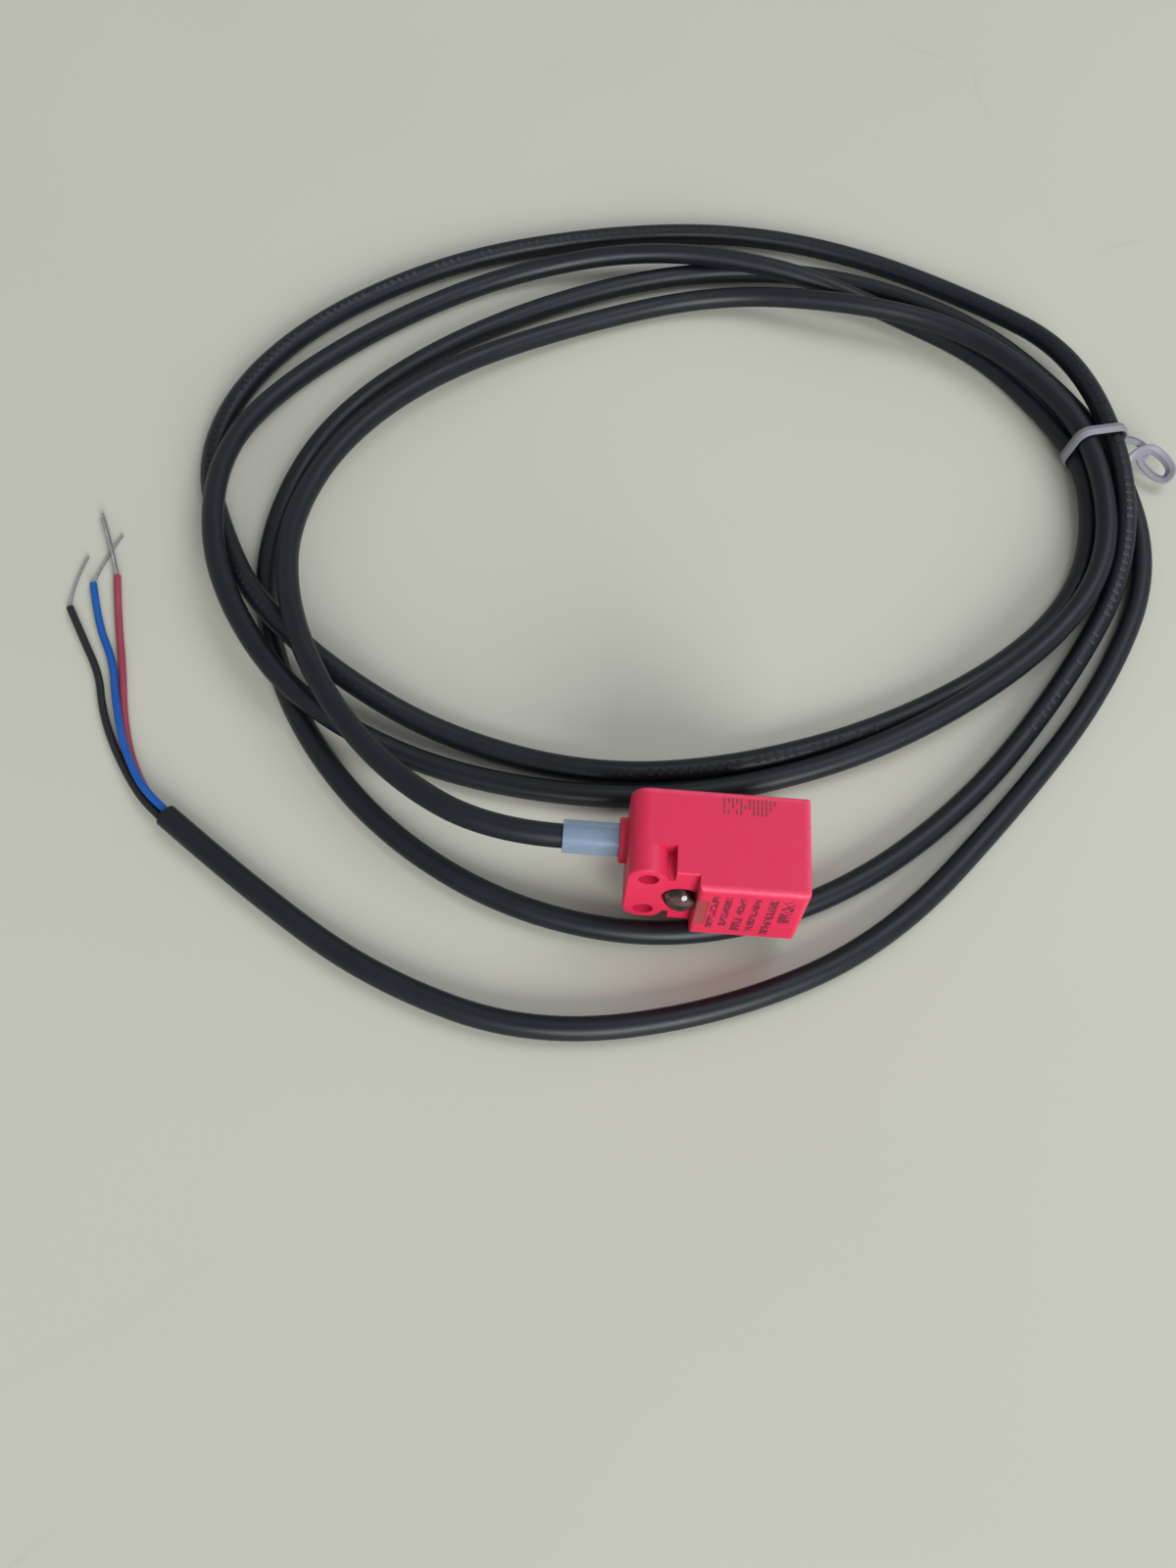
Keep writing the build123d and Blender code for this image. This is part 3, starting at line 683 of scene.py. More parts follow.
def new_geometry_tree(name: str, floats: Sequence[str], others: dict[str, str]
                      ) -> tuple[Tree, bpy.types.NodeOutputs]:
    """Starts a geometry node tree.

    Args:
        name: the tree's name.
        floats: names of the inputs that are plain numbers.
        others: input name to socket type, for the rest.

    Returns:
        The tree and its inputs' sockets.
    """
    tree = bpy.data.node_groups.new(name, "GeometryNodeTree")
    kinds = {"Geometry": "NodeSocketGeometry", **dict.fromkeys(floats, "NodeSocketFloat"), **others}
    for label, kind in kinds.items():
        tree.interface.new_socket(label, in_out="INPUT", socket_type=kind)
    tree.interface.new_socket("Geometry", in_out="OUTPUT", socket_type="NodeSocketGeometry")
    return tree, add_node(tree, "NodeGroupInput").outputs


def finish_tree(tree: Tree, geometry: Socket, material: Material) -> None:
    """Ends a tree with real geometry in one material."""
    real = add_node(tree, "GeometryNodeRealizeInstances", {"Geometry": geometry})
    dressed = add_node(tree, "GeometryNodeSetMaterial", {"Geometry": real.outputs[0],
                                                         "Material": material})
    add_node(tree, "NodeGroupOutput", {"Geometry": dressed.outputs[0]})


def bar_tree(material: Material) -> Tree:
    """Builds the tree that sets a row of small raised bars along every line of a curve.

    The bars stand on the side of the line that Facing points to. Their height is the curve's radius
    times a share between 0.45 and 1, the same for all bars and drawn with Seed.

    Args:
        material: the bars' material.

    Returns:
        The tree, with the inputs of a BarPattern.
    """
    tree, ask = new_geometry_tree(
        "mark_rows", ("Pitch", "Stroke", "Thickness", "Offset", "Start", "End", "Keep"),
        {"Facing": "NodeSocketVector", "Seed": "NodeSocketInt"})
    # the trim's inputs 4 and 5 are the start and the end as lengths
    cut = add_node(tree, "GeometryNodeTrimCurve", {"Curve": ask["Geometry"], 4: ask["Start"],
                                                   5: ask["End"]}, mode="LENGTH")
    dots = add_node(tree, "GeometryNodeCurveToPoints", {"Curve": cut.outputs[0], "Length": ask["Pitch"]},
                    mode="LENGTH")
    along = dots.outputs["Tangent"]
    side = vector_maths(tree, "CROSS_PRODUCT", along, ask["Facing"])
    outward = vector_maths(tree, "NORMALIZE", vector_maths(tree, "CROSS_PRODUCT", side, along))
    moved = add_node(tree, "GeometryNodeSetPosition", {
        "Geometry": dots.outputs["Points"], "Offset": scaled(tree, outward, ask["Offset"])})
    chance = add_node(tree, "FunctionNodeRandomValue", {"Seed": ask["Seed"]}, data_type="FLOAT")
    gone = add_node(tree, "FunctionNodeCompare", {0: chance.outputs["Value"], 1: ask["Keep"]},
                    data_type="FLOAT", operation="GREATER_THAN")
    kept = add_node(tree, "GeometryNodeDeleteGeometry", {"Geometry": moved.outputs[0],
                                                         "Selection": gone.outputs[0]}, domain="POINT")
    turn = add_node(tree, "FunctionNodeAxesToRotation", {"Primary Axis": along,
                                                         "Secondary Axis": outward},
                    primary_axis="X", secondary_axis="Z")
    size = add_node(tree, "ShaderNodeCombineXYZ", {"X": ask["Stroke"], "Y": 1.0, "Z": ask["Thickness"]})
    bar = add_node(tree, "GeometryNodeMeshCube", {"Size": size.outputs[0]})
    # the random node's inputs 2 and 3 and its output 1 are those for plain numbers
    share = add_node(tree, "FunctionNodeRandomValue", {2: 0.45, 3: 1.0, "ID": ask["Seed"]},
                     data_type="FLOAT")
    row = add_node(tree, "GeometryNodeInputRadius")
    tall = maths(tree, "MULTIPLY", row.outputs[0], share.outputs[1])
    stretch = add_node(tree, "ShaderNodeCombineXYZ", {"X": 1.0, "Y": tall, "Z": 1.0})
    bars = add_node(tree, "GeometryNodeInstanceOnPoints", {
        "Points": kept.outputs[0], "Instance": bar.outputs["Mesh"], "Rotation": turn.outputs[0],
        "Scale": stretch.outputs[0]})
    finish_tree(tree, bars.outputs[0], material)
    return tree


def strand_tree(material: Material) -> Tree:
    """Builds the tree that lays round wires in a helix about a line.

    Args:
        material: the wires' material.

    Returns:
        The tree, with inputs Lay Radius, Wire Radius, Pitch and Wires.
    """
    tree, ask = new_geometry_tree("laid_strands", ("Lay Radius", "Wire Radius", "Pitch"),
                                  {"Wires": "NodeSocketInt"})
    fine = add_node(tree, "GeometryNodeResampleCurve", {"Curve": ask["Geometry"], "Count": 90})
    copies = add_node(tree, "GeometryNodeDuplicateElements", {"Geometry": fine.outputs[0],
                                                              "Amount": ask["Wires"]}, domain="SPLINE")
    stored = add_node(tree, "GeometryNodeStoreNamedAttribute", {
        "Geometry": copies.outputs[0], "Name": "which", "Value": copies.outputs[1]},
        data_type="INT", domain="CURVE")
    which = add_node(tree, "GeometryNodeInputNamedAttribute", {"Name": "which"}, data_type="INT")
    share = maths(tree, "DIVIDE", which.outputs[0], ask["Wires"])
    along = add_node(tree, "GeometryNodeSplineParameter")
    turns = maths(tree, "ADD", maths(tree, "DIVIDE", along.outputs["Length"], ask["Pitch"]), share)
    angle = maths(tree, "MULTIPLY", turns, 2 * math.pi)
    straight = add_node(tree, "GeometryNodeInputTangent").outputs[0]
    across = add_node(tree, "GeometryNodeInputNormal").outputs[0]
    other = vector_maths(tree, "CROSS_PRODUCT", straight, across)
    around = vector_maths(tree, "ADD", scaled(tree, across, maths(tree, "COSINE", angle)),
                          scaled(tree, other, maths(tree, "SINE", angle)))
    laid = add_node(tree, "GeometryNodeSetPosition", {
        "Geometry": stored.outputs[0], "Offset": scaled(tree, around, ask["Lay Radius"])})
    ring = add_node(tree, "GeometryNodeCurvePrimitiveCircle", {"Resolution": 8,
                                                               "Radius": ask["Wire Radius"]})
    wires = add_node(tree, "GeometryNodeCurveToMesh", {
        "Curve": laid.outputs[0], "Profile Curve": ring.outputs[0], "Fill Caps": True})
    finish_tree(tree, wires.outputs[0], material)
    return tree


# --- the cable ------------------------------------------------------------------------------------


@dataclass
class CoiledCable:
    """The black three-core cable, as it lies in four loose turns."""

    exit: Triple = (-38.3, 3.0, 0.0)
    length: float = 1956.0
    diameter: float = CABLE_DIAMETER
    mark_height: float = 1.5
    marked: Pair = (830.0, 1290.0)  # stretch of the cable with marks, from its exit
    mark_sunk: float = 0.01  # how deep the marks' middle lies in the jacket's skin
    steps: int = 12  # segments per point of the route

    def route(self) -> list[Triple]:
        """Points of the route: x, y and layers of cable beneath it, turned to heights."""
        out = (self.exit[2] - SURFACE - self.diameter / 2) / LAYER_PITCH
        flat = [
            # out of the sleeve, down to the left and round the first turn
            (self.exit[0], self.exit[1], out), (-50.0, self.exit[1], out), (-66.0, 11.5, 2.35),
            (-79.5, 26.0, 2.15), (-89.0, 45.0, 2.1), (-91.5, 66.0, 1.4), (-84.0, 88.0, 1.0),
            (-68.0, 107.0, 0.6), (-43.0, 123.5, 0.1), (-15.0, 135.0, 0.1), (11.0, 131.5, 1.2),
            (34.0, 127.5, 1.1), (50.5, 113.5, 1.25),
            # second turn, from the tie
            (59.5, 97.0, 1.3), (60.0, 72.0, 1.05), (46.5, 51.0, 0.95), (20.0, 31.0, 0.35),
            (-8.0, 19.5, 0), (-34.0, 15.5, 0), (-62.0, 19.0, 0), (-84.0, 27.5, 1.0),
            (-97.0, 42.0, 1.15), (-105.5, 60.0, 1.15), (-107.0, 82.0, 0.8), (-98.5, 102.0, 0),
            (-80.0, 121.0, 0), (-56.0, 137.5, 0), (-28.0, 143.5, 0.85), (0.0, 139.5, 1.15),
            (22.0, 134.0, 0), (40.5, 124.0, 0), (52.0, 109.0, 0.1),
            # third turn, the outermost along the far side
            (59.0, 95.0, 0.3), (57.5, 73.0, 0), (45.5, 54.0, 0), (20.0, 35.5, 0), (-8.0, 24.0, 0),
            (-34.0, 20.0, 0), (-60.0, 25.5, 0), (-80.0, 34.5, 1.0), (-95.0, 47.5, 1.15),
            (-103.0, 62.0, 0), (-110.5, 80.0, 0), (-107.0, 101.0, 0), (-92.5, 121.5, 0),
            (-68.0, 139.5, 0), (-40.0, 149.5, 0), (-12.0, 154.0, 0), (14.0, 150.5, 0),
            (40.0, 139.5, 0), (57.5, 124.0, 0.85),
            # fourth turn, which passes under the sensor
            (64.5, 96.0, 1.35), (63.2, 70.5, 0.55), (50.0, 46.0, 0), (31.0, 20.0, 0), (8.0, 0.5, 0),
            (-18.0, -9.0, 0), (-44.0, -6.5, 0), (-67.0, 5.5, 0), (-84.0, 24.0, 0), (-94.0, 46.0, 0),
            (-96.0, 69.0, 0), (-88.5, 94.0, 0), (-68.5, 116.0, 0), (-42.0, 133.0, 0),
            (-16.0, 142.5, 0), (12.0, 143.5, 0), (38.5, 133.5, 0), (55.5, 116.0, 0.1),
            # the free end, in front of the sensor
            (65.0, 98.0, 0.3), (69.0, 73.0, 0), (57.0, 45.5, 0), (38.5, 20.0, 0), (16.0, -6.5, 0),
            (-10.0, -20.5, 0), (-40.0, -27.0, 0), (-66.0, -19.5, 0), (-88.0, -5.5, 0),
            (*CABLE_TIP, 0),
        ]
        lowest = SURFACE + self.diameter / 2
        return [(x, y, lowest + layer * LAYER_PITCH) for x, y, layer in flat]

    def build(self, jacket: Material) -> Piece:
        """Makes the cable."""
        return route_curve("coiled_cable", self.route(), self.diameter, jacket, self.steps)

    def marks(self, material: Material) -> Piece:
        """Makes the faint raised marks, generic bars, along part of the jacket."""
        line = route_curve("mark_line", self.route(), steps=self.steps)
        for place in line.data.splines[0].points:
            place.radius = self.mark_height * MM
        bars = BarPattern(pitch=1.7, stroke=0.7, thickness=0.12, keep=0.72, facing=(0.0, -0.45, 0.9),
                          seed=5, offset=self.diameter / 2 - self.mark_sunk, start=self.marked[0],
                          end=self.marked[1])
        marks = grow(line, "jacket_marks", bar_tree(material), bars.inputs())
        introduce(marks)
        return marks

    def declare(self, cable: Piece) -> None:
        """Hangs the cable under the root in place of the CAD cable."""
        introduce(cable, "cable")


@dataclass
class StrippedCore:
    """One insulated wire out of the cut jacket, with its stripped and twisted end."""

    name: str
    slot: Slot
    side: float  # from the jacket's middle, to the left of its run
    lift: float
    route: tuple[Triple, ...]
    bare: tuple[Triple, ...]
    bare_diameter: float
    length: float
    out: Pair = (-0.795160, 0.606399)  # direction of the jacket's last run
    straight: float = 4.0  # first stretch, square out of the cut
    lay: float = 5.0  # the strands' helix rises this many of their diameters in a turn

    def points(self) -> list[Triple]:
        """The insulated part's points: square out of the cut face, then along the route."""
        x = CABLE_TIP[0] - self.side * self.out[1]
        y = CABLE_TIP[1] + self.side * self.out[0]
        height = CABLE_DIAMETER / 2 + self.lift
        leave = [(x, y, height), (x + self.straight * self.out[0], y + self.straight * self.out[1], height)]
        return above_table([*leave, *self.route])

    def build(self, insulation: Material, wires: Tree) -> None:
        """Makes the insulation and the strands, each in place of its CAD node."""
        points = self.points()
        core = route_curve(f"{self.name}_insulation", points, CORE_DIAMETER, insulation)
        line = route_curve("strand_line", [points[-1], *above_table(self.bare)])
        wire = self.bare_diameter / 3  # six wires round a hollow middle as wide as one of them
        strands = grow(line, f"{self.name}_twisted_strands", wires, {
            "Wires": 6, "Lay Radius": wire * MM, "Wire Radius": wire / 2 * MM,
            "Pitch": self.lay * self.bare_diameter * MM})
        introduce(core, f"{self.name}_core")
        introduce(strands, f"{self.name}_strands")


CORES = (
    StrippedCore("black", Slot.BLACK, 0.75, -0.25,
                 ((-111.4, 13.2, 1.1), (-116.0, 20.4, 0.72), (-119.0, 27.0, 0.7), (-120.8, 33.5, 0.7),
                  (-125.0, 40.5, 0.7), (-128.8, 47.0, 0.7)),
                 ((-129.4, 52.5, 0.5), (-128.0, 58.5, 0.4)), 0.5, 48.0),
    StrippedCore("blue", Slot.BLUE, -0.45, 0.72,
                 ((-110.2, 13.4, 2.3), (-113.9, 20.0, 2.1), (-116.8, 28.5, 1.6), (-119.0, 36.5, 0.72),
                  (-123.2, 44.0, 0.7), (-125.8, 52.5, 0.7)),
                 ((-124.9, 58.5, 0.3), (-122.9, 64.0, 0.3)), 0.5, 51.0),
    StrippedCore("brown", Slot.BROWN, -0.6, -0.75,
                 ((-109.3, 12.6, 0.85), (-112.6, 18.6, 0.7), (-115.2, 26.5, 0.7), (-117.0, 35.0, 0.7),
                  (-119.8, 45.0, 0.7), (-121.9, 54.5, 0.7)),
                 ((-124.2, 61.0, 1.1), (-127.4, 68.0, 0.8)), 0.8, 51.5),
)


# --- the twist tie --------------------------------------------------------------------------------


@dataclass
class TwistTie:
    """A grey plastic strip over a wire: round the bundle, crossed over itself, and curled into a loop."""

    centre: Pair = (60.2, 100.2)
    heading: Pair = (0.300, -0.954)
    bundle: tuple[Pair, ...] = ((-3.6, 3.0), (-2.7, 7.4), (2.85, 7.1), (2.95, 3.0))
    reach: float = 2.55  # from a turn's middle to the middle of the strip
    width: float = 2.0
    thickness: float = 0.5
    eased: float = 0.85  # share of the width that has the full thickness
    rib: float = 0.12  # how far the wire stands proud, on both sides
    rib_half: float = 0.3
    nearest: float = 0.05  # corners of the band nearer than this are one
    facet: float = 0.5  # length of the band's facets where it runs straight
    # the free end: out from the band, back under itself, round the loop and in again
    tail: tuple[Triple, ...] = (
        (65.8, 101.8, 5.7), (68.0, 101.7, 5.4), (69.8, 101.1, 4.8), (70.3, 100.0, 4.0), (69.5, 98.8, 3.4),
        (70.4, 97.3, 2.9), (72.3, 95.6, 2.5), (74.2, 95.1, 2.6), (75.3, 96.7, 3.3), (74.5, 98.3, 4.1),
        (72.8, 99.6, 4.8), (71.0, 100.1, 5.3), (69.2, 99.6, 5.1), (67.9, 98.9, 4.2), (67.5, 98.4, 3.4))
    loop_axis: Triple = (-0.168, -0.421, 0.891)
    lean: float = 1.0  # how far the tail leans out of the loop's axis, in radians

    def section(self) -> list[Pair]:
        """The strip's section: flat, with the wire's rib along its middle."""
        half, thick = self.width / 2, self.thickness / 2
        under = [(-half, -thick / 2), (-half * self.eased, -thick), (-self.rib_half, -thick),
                 (0.0, -thick - self.rib), (self.rib_half, -thick), (half * self.eased, -thick),
                 (half, -thick / 2)]
        return under + [(-side, -depth) for side, depth in under]

    def band_outline(self) -> list[Pair]:
        """The band's middle line in its plane: a taut line round the turns of the bundle."""
        circles = [(u + self.reach * math.cos(a), h + self.reach * math.sin(a))
                   for u, h in self.bundle for a in full_turn(48)]
        middle = [sum(pair) / len(self.bundle) for pair in zip(*self.bundle)]
        outline = []
        for angle in full_turn(96):
            way = (math.cos(angle), math.sin(angle))
            furthest = max(circles, key=lambda p: (p[0] - middle[0]) * way[0] + (p[1] - middle[1]) * way[1])
            if not outline or math.dist(outline[-1], furthest) > self.nearest:
                outline.append(furthest)
        smooth = []
        for here, after in zip(outline, outline[1:] + outline[:1]):
            steps = max(1, int(math.dist(here, after) / self.facet))
            smooth += [tuple(a + (b - a) * step / steps for a, b in zip(here, after))
                       for step in range(steps)]
        return smooth

    def band(self) -> Shape:
        """The strip round the bundle."""
        across = Vector((*self.heading, 0.0))
        outward = Vector((-self.heading[1], self.heading[0], 0.0))
        origin = Vector((*self.centre, SURFACE))
        line = [origin + outward * u + Vector((0.0, 0.0, h)) for u, h in self.band_outline()]
        through = [(after - before).normalized().cross(across).normalized()
                   for before, after in zip(line[-1:] + line[:-1], line[1:] + line[:1])]
        return swept(line, [across] * len(line), through, self.section(), closed=True)

    def tail_strip(self) -> Shape:
        """The free end: a smooth line through its points, the strip leaning outwards."""
        axis = Vector(self.loop_axis).normalized()
        knots = [Vector(point) for point in above_table(self.tail)]
        line = smooth_line([2 * knots[0] - knots[1], *knots, 2 * knots[-1] - knots[-2]], steps=8)
        across, through = [], []
        for before, after in zip(line[:1] + line[:-1], line[1:] + line[-1:]):
            along = (after - before).normalized()
            turn = Matrix.Rotation(self.lean, 3, along)
            across.append(turn @ (axis - along * axis.dot(along)).normalized())
            through.append(along.cross(across[-1]))
        return swept(line, across, through, self.section(), closed=False)

    def build(self, strip: Material) -> Piece:
        """Makes the tie as one piece."""
        tie = mesh_object("wire_core_tie", [(0, self.band()), (0, self.tail_strip())], [strip])
        introduce(tie, "twist_tie")
        return tie


# --- the sensor -----------------------------------------------------------------------------------


@dataclass
class StrainSleeve:
    """The translucent tube that keeps the cable from kinking at the housing."""

    centre: Pair = (3.0, 0.0)
    start: float = -38.3
    end: float = -26.8
    outer: float = 2.7
    bore: float = 2.0
    lip: float = 0.15
    slack: float = 0.02  # keeps it clear of the cable inside and the housing outside

    def build(self, material: Material) -> None:
        """Makes the sleeve with a rounded mouth."""
        length = self.end - self.start
        inside = self.bore + self.slack
        profile = [(length, inside), (self.lip, inside), (0.0, self.bore + self.lip)]
        profile += [(self.lip * (1 - math.cos(a)), self.outer - self.lip + self.lip * math.sin(a))
                    for a in quarter_turn(6)]
        profile += [(length, self.outer - self.slack), (length, inside)]
        tube = lathe(profile, (self.start, *self.centre), (1, 0, 0))
        introduce(mesh_object("translucent_sleeve", [(0, tube)], [material]),
                  "strain_relief_sleeve")


@dataclass
class Indicator:
    """The clear dome and strip of the indicator, and the lamp inside."""

    x: float = -19.2
    lens_radius: float = 2.9
    stem_radius: float = 2.55
    lens_base: float = 1.8
    lens_seat: float = 5.35
    lens_shoulder: float = 6.3
    lens_top: float = 8.3
    pocket_radius: float = 1.9
    pocket_top: float = 6.4
    pocket_ease: float = 0.3
    strip_x: Pair = (-17.0, -15.15)
    strip_half: float = 4.3
    strip_height: Pair = (6.15, 8.45)
    strip_ease: float = 0.18
    lamp_base: float = 2.4
    lamp_top: float = 6.2
    lamp_radius: float = 1.5
    flange_radius: float = 1.7
    flange_height: float = 0.6
    # the lead frame's cup and the die in it, as (height, radius)
    cup: tuple[Pair, ...] = ((3.2, 0.0), (3.2, 0.7), (4.6, 0.75), (4.6, 0.62), (4.1, 0.3), (4.1, 0.0))
    die: tuple[Pair, ...] = ((4.1, 0.0), (4.1, 0.18), (4.35, 0.18), (4.35, 0.0))
    lead_pitch: float = 1.4
    lead_width: float = 0.4
    lead_end: float = 0.8
    lead_tops: Pair = (3.6, 4.9)

    def turned(self, profile: Sequence[Pair]) -> Shape:
        """Turns a profile of (height, radius) about the indicator's axis."""
        return lathe(profile, (self.x, 0.0, 0.0), (0, -1, 0))

    def window(self, clear: Material, tinted: Material) -> None:
        """Makes the dome with its lamp pocket, and the strip beside it."""
        rise = self.lens_top - self.lens_shoulder
        ball = (self.lens_radius ** 2 + rise ** 2) / (2 * rise)
        reach = math.asin(self.lens_radius / ball)
        outside = [(self.lens_top - ball + ball * math.cos(a), ball * math.sin(a))
                   for a in np.linspace(0.0, reach, 14)]
        dome = self.turned([
            (self.pocket_top, 0.0), (self.pocket_top, self.pocket_radius - self.pocket_ease),
            (self.pocket_top - self.pocket_ease, self.pocket_radius), (self.lens_base, self.pocket_radius),
            (self.lens_base, self.stem_radius), (self.lens_seat, self.stem_radius),
            (self.lens_seat, self.lens_radius), *reversed(outside)])
        window = mesh_object("clear_indicator_window", [(0, dome), (1, self.strip())], [clear, tinted])
        introduce(window, "indicator_window")

    def strip(self) -> Shape:
        """The flat strip, with one long edge eased."""
        low, high = self.strip_x
        base, top = self.strip_height
        outline = [(low, base), (low, top - self.strip_ease), (low + self.strip_ease, top), (high, top),
                   (high, base)]
        return skinned([[Vector((x, -height, z)) for x, height in outline]
                        for z in (-self.strip_half, self.strip_half)])

    def lead(self, x: float, base: float, top: float) -> Shape:
        """A square stretch of lead from one height to another."""
        half = self.lead_width / 2
        return skinned([[Vector((x + a * half, -height, b * half))
                         for a, b in ((-1, -1), (1, -1), (1, 1), (-1, 1))] for height in (base, top)])

    def lamp(self, epoxy: Material, metal: Material, chip: Material) -> None:
        """Makes the lamp: clear body, lead frame with its cup, and the die."""
        dome = [(self.lamp_top - self.lamp_radius + self.lamp_radius * math.cos(a),
                 self.lamp_radius * math.sin(a)) for a in quarter_turn(12)]
        shoulder = self.lamp_base + self.flange_height
        body = [(self.lamp_base, 0.0), (self.lamp_base, self.flange_radius), (shoulder, self.flange_radius),
                (shoulder, self.lamp_radius), *reversed(dome)]
        shapes = [(0, self.turned(body)), (1, self.turned(self.cup)), (2, self.turned(self.die))]
        for side, lead_top in zip((-1, 1), self.lead_tops):
            x = self.x + side * self.lead_pitch / 2
            for base, top in ((self.lead_end, self.lamp_base), (self.lamp_base, lead_top)):
                shapes.append((1, self.lead(x, base, top)))
        lamp = mesh_object("clear_status_lamp", shapes, [epoxy, metal, chip])
        introduce(lamp, "indicator_lamp")


@dataclass
class PrintedMarks:
    """Generic printed bars in the places of the label and the date code. They spell nothing."""

    label_face: float = -8.5
    top_face: float = 8.5
    proud: float = 0.006
    # x of each line of the label, where it starts and ends in z, and its height
    lines: tuple[Four, ...] = (
        (-2.9, 6.0, -1.6, 1.9), (-5.3, 6.1, -6.6, 1.3), (-7.8, 6.1, -5.9, 1.1),
        (-10.0, 6.1, 0.4, 1.1), (-10.0, -1.4, -5.8, 1.5), (-12.2, 6.1, -4.2, 1.1), (-14.2, 6.1, -5.4, 1.1))
    # the code on the top face: its y, where it starts and ends in x, and its height
    code: Four = (6.1, -13.6, -5.7, 2.9)
    tiers: int = 3  # rows of short strokes that fill one line's height
    inked: float = 0.74  # share of the strokes that are there

    def rows(self, name: str, lines: Sequence[tuple[Vector, Vector, float]], facing: Vector) -> Piece:
        """Makes a curve object with one straight spline per tier of each line of print."""
        data = bpy.data.curves.new(name, "CURVE")
        data.dimensions = "3D"
        for start, end, height in lines:
            across = facing.cross(end - start).normalized() * height / self.tiers
            for tier in range(self.tiers):
                spline = data.splines.new("POLY")
                spline.points.add(1)
                for place, point in zip(spline.points, (start, end)):
                    place.co = (*((point + across * (tier - (self.tiers - 1) / 2)) * MM), 1.0)
                    place.radius = height / self.tiers * MM
        return link_object(name, data)

    def build(self, label_ink: Material, code_ink: Material) -> None:
        """Prints both places."""
        label = [(Vector((x, self.label_face, start)), Vector((x, self.label_face, end)), height)
                 for x, start, end, height in self.lines]
        y, start, end, height = self.code
        code = [(Vector((start, y, self.top_face)), Vector((end, y, self.top_face)), height)]
        for name, lines, ink, bars in (
                ("label_print", label, label_ink,
                 BarPattern(pitch=0.46, stroke=0.34, thickness=2 * self.proud, keep=self.inked,
                            facing=(0.0, -1.0, 0.0), seed=3)),
                ("date_code_print", code, code_ink,
                 BarPattern(pitch=0.62, stroke=0.32, thickness=2 * self.proud, keep=self.inked,
                            facing=(0.0, 0.0, 1.0), seed=8))):
            rows = self.rows(f"{name}_lines", lines, Vector(bars.facing))
            introduce(grow(rows, name, bar_tree(ink), bars.inputs()))


# --- what stays as it is in CAD -------------------------------------------------------------------

KEPT_NODES: dict[str, Finish] = {
    "housing": CORAL_PBT,
    "base_cover": CORAL_PBT,
    "potting_compound": POTTING,
    "circuit_board": BOARD,
    "oscillator_chip": CHIP_EPOXY,
    "output_transistor": CHIP_EPOXY,
    "chip_resistors": CHIP_EPOXY,
    "surge_diodes": CHIP_EPOXY,
    "chip_capacitors": CHIP_CERAMIC,
    "ferrite_core": FERRITE,
    "coil_bobbin": BOBBIN_NYLON,
    "coil_winding": COPPER_WIRE,
    "coil_wires": COPPER_LEAD,
    "solder_joints": SOLDER,
    "cable_entry": JACKET_PVC,
    "brown_wire": BROWN_PVC,
    "black_wire": BLACK_PVC,
    "blue_wire": BLUE_PVC,
}


@dataclass
class Workshop:
    """Makes each finish once and hands out its material."""

    made: dict[str, Material] = field(default_factory=dict)

    def material(self, finish: Finish) -> Material:
        """The finish's material."""
        if finish.name not in self.made:
            self.made[finish.name] = finish.make()
        return self.made[finish.name]

    def dress_kept(self) -> None:
        """Gives every CAD node that stays its finish."""
        for name, finish in KEPT_NODES.items():
            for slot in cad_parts[name].material_slots:
                slot.material = self.material(finish)
            log.info("dressed %s", name)


# --- stage ----------------------------------------------------------------------------------------


@dataclass(frozen=True)
class SoftLight:
    """A round area light, in metres and watts."""

    name: str
    place: Triple
    aim: Triple
    size: float
    power: float
    tint: str

    def hang(self) -> None:
        """Puts the light in its place."""
        data = bpy.data.lights.new(self.name, "AREA")
        data.shape = "DISK"
        data.size = self.size
        data.energy = self.power
        data.color = linear(self.tint)[:3]
        made = link_object(self.name, data)
        made.location = self.place
        made.rotation_euler = (Vector(self.aim) - Vector(self.place)).to_track_quat("-Z", "Y").to_euler()


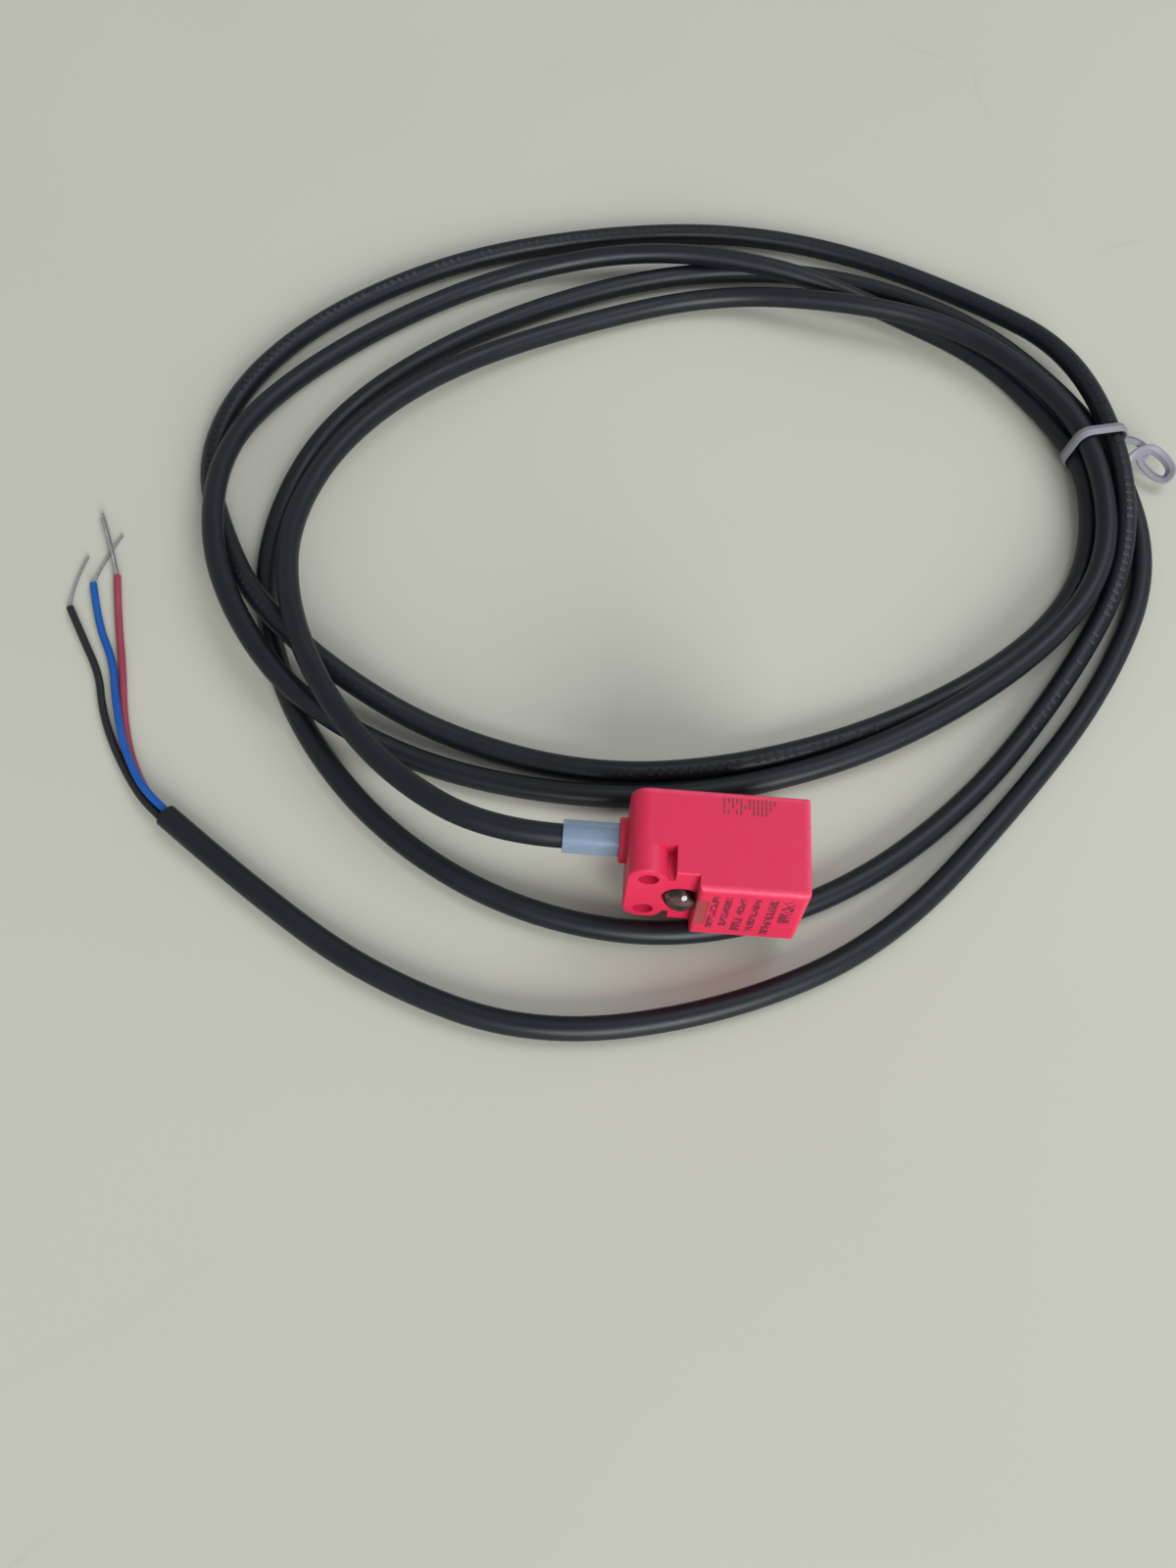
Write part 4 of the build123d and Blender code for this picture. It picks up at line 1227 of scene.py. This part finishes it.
@dataclass
class Stage:
    """Camera, table and soft light."""

    camera_place: Triple = (-40.1725, -103.9619, 216.9393)
    yaw: float = 0.0462
    pitch: float = 1.077
    roll: float = 0.1157
    lens: float = 34.875
    sensor_height: float = 36.0
    nearest: float = 5.0  # nearest thing the camera shows
    half_table: float = 1500.0
    sky_colour: str = "#EEF1F2"
    sky_strength: float = 0.50
    lights: tuple[SoftLight, ...] = (
        SoftLight("window_light", (0.80, -2.20, 1.10), (0.0, 0.05, 0.0), 1.5, 75.0, "#FFFFFF"),
        SoftLight("ceiling_light", (0.60, 0.40, 1.15), (0.05, 0.10, 0.0), 0.9, 6.0, "#F4F7FF"))

    def camera(self) -> None:
        """Sets the camera, tipped steeply down at the coil, and shows colours as they are given."""
        data = bpy.data.cameras.new("camera")
        data.lens = self.lens
        data.sensor_fit = "VERTICAL"
        data.sensor_height = self.sensor_height
        data.clip_start = self.nearest * MM
        level_share = math.cos(self.pitch)
        forward = Vector((math.sin(self.yaw) * level_share, math.cos(self.yaw) * level_share,
                          -math.sin(self.pitch)))
        level = Vector((math.cos(self.yaw), -math.sin(self.yaw), 0.0))
        upright = level.cross(forward)
        right = level * math.cos(self.roll) + upright * math.sin(self.roll)
        up = upright * math.cos(self.roll) - level * math.sin(self.roll)
        made = link_object("camera", data)
        place = Vector(in_metres(self.camera_place))
        turned = Matrix((right, up, -forward)).transposed().to_4x4()
        made.matrix_world = Matrix.Translation(place) @ turned
        bpy.context.scene.camera = made
        bpy.context.scene.view_settings.view_transform = "Standard"

    def table(self, material: Material) -> None:
        """Lays the table top under everything."""
        corners = [Vector((a * self.half_table, b * self.half_table, SURFACE))
                   for a, b in ((-1, -1), (1, -1), (1, 1), (-1, 1))]
        floor = mesh_object("table_top", [(0, (corners, [[0, 1, 2, 3]]))], [material], smooth=False)

    def light(self) -> None:
        """Sets the sky and the soft lights."""
        world = bpy.data.worlds.new("room")
        world.use_nodes = True
        sky = world.node_tree.nodes["Background"]
        sky.inputs["Color"].default_value = linear(self.sky_colour)
        sky.inputs["Strength"].default_value = self.sky_strength
        bpy.context.scene.world = world
        for soft in self.lights:
            soft.hang()


# --- making everything ----------------------------------------------------------------------------


def main() -> None:
    """Builds the stage, the cords and the sensor, in that order."""
    logging.basicConfig(level=logging.INFO, format="%(name)s: %(message)s")
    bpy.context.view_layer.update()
    shop = Workshop()
    stage = Stage()
    stage.camera()
    stage.table(shop.material(TABLE))
    stage.light()
    log.info("set the stage")

    cable = CoiledCable()
    run = cable.build(shop.material(JACKET_PVC))
    tie = TwistTie().build(shop.material(TIE_STRIP))
    marks = cable.marks(shop.material(JACKET_MARK))
    cable.declare(run)
    wires = strand_tree(shop.material(TINNED_COPPER))
    insulation = {Slot.BLACK: BLACK_PVC, Slot.BLUE: BLUE_PVC, Slot.BROWN: BROWN_PVC}
    for core in CORES:
        core.build(shop.material(insulation[core.slot]), wires)

    shop.dress_kept()
    StrainSleeve().build(shop.material(SLEEVE_PVC))
    indicator = Indicator()
    indicator.window(shop.material(CLEAR_POLYCARBONATE), shop.material(TINTED_POLYCARBONATE))
    indicator.lamp(shop.material(LAMP_EPOXY), shop.material(LEAD_FRAME), shop.material(LAMP_DIE))
    PrintedMarks().build(shop.material(LABEL_INK), shop.material(CODE_INK))


if __name__ == "__main__":
    main()
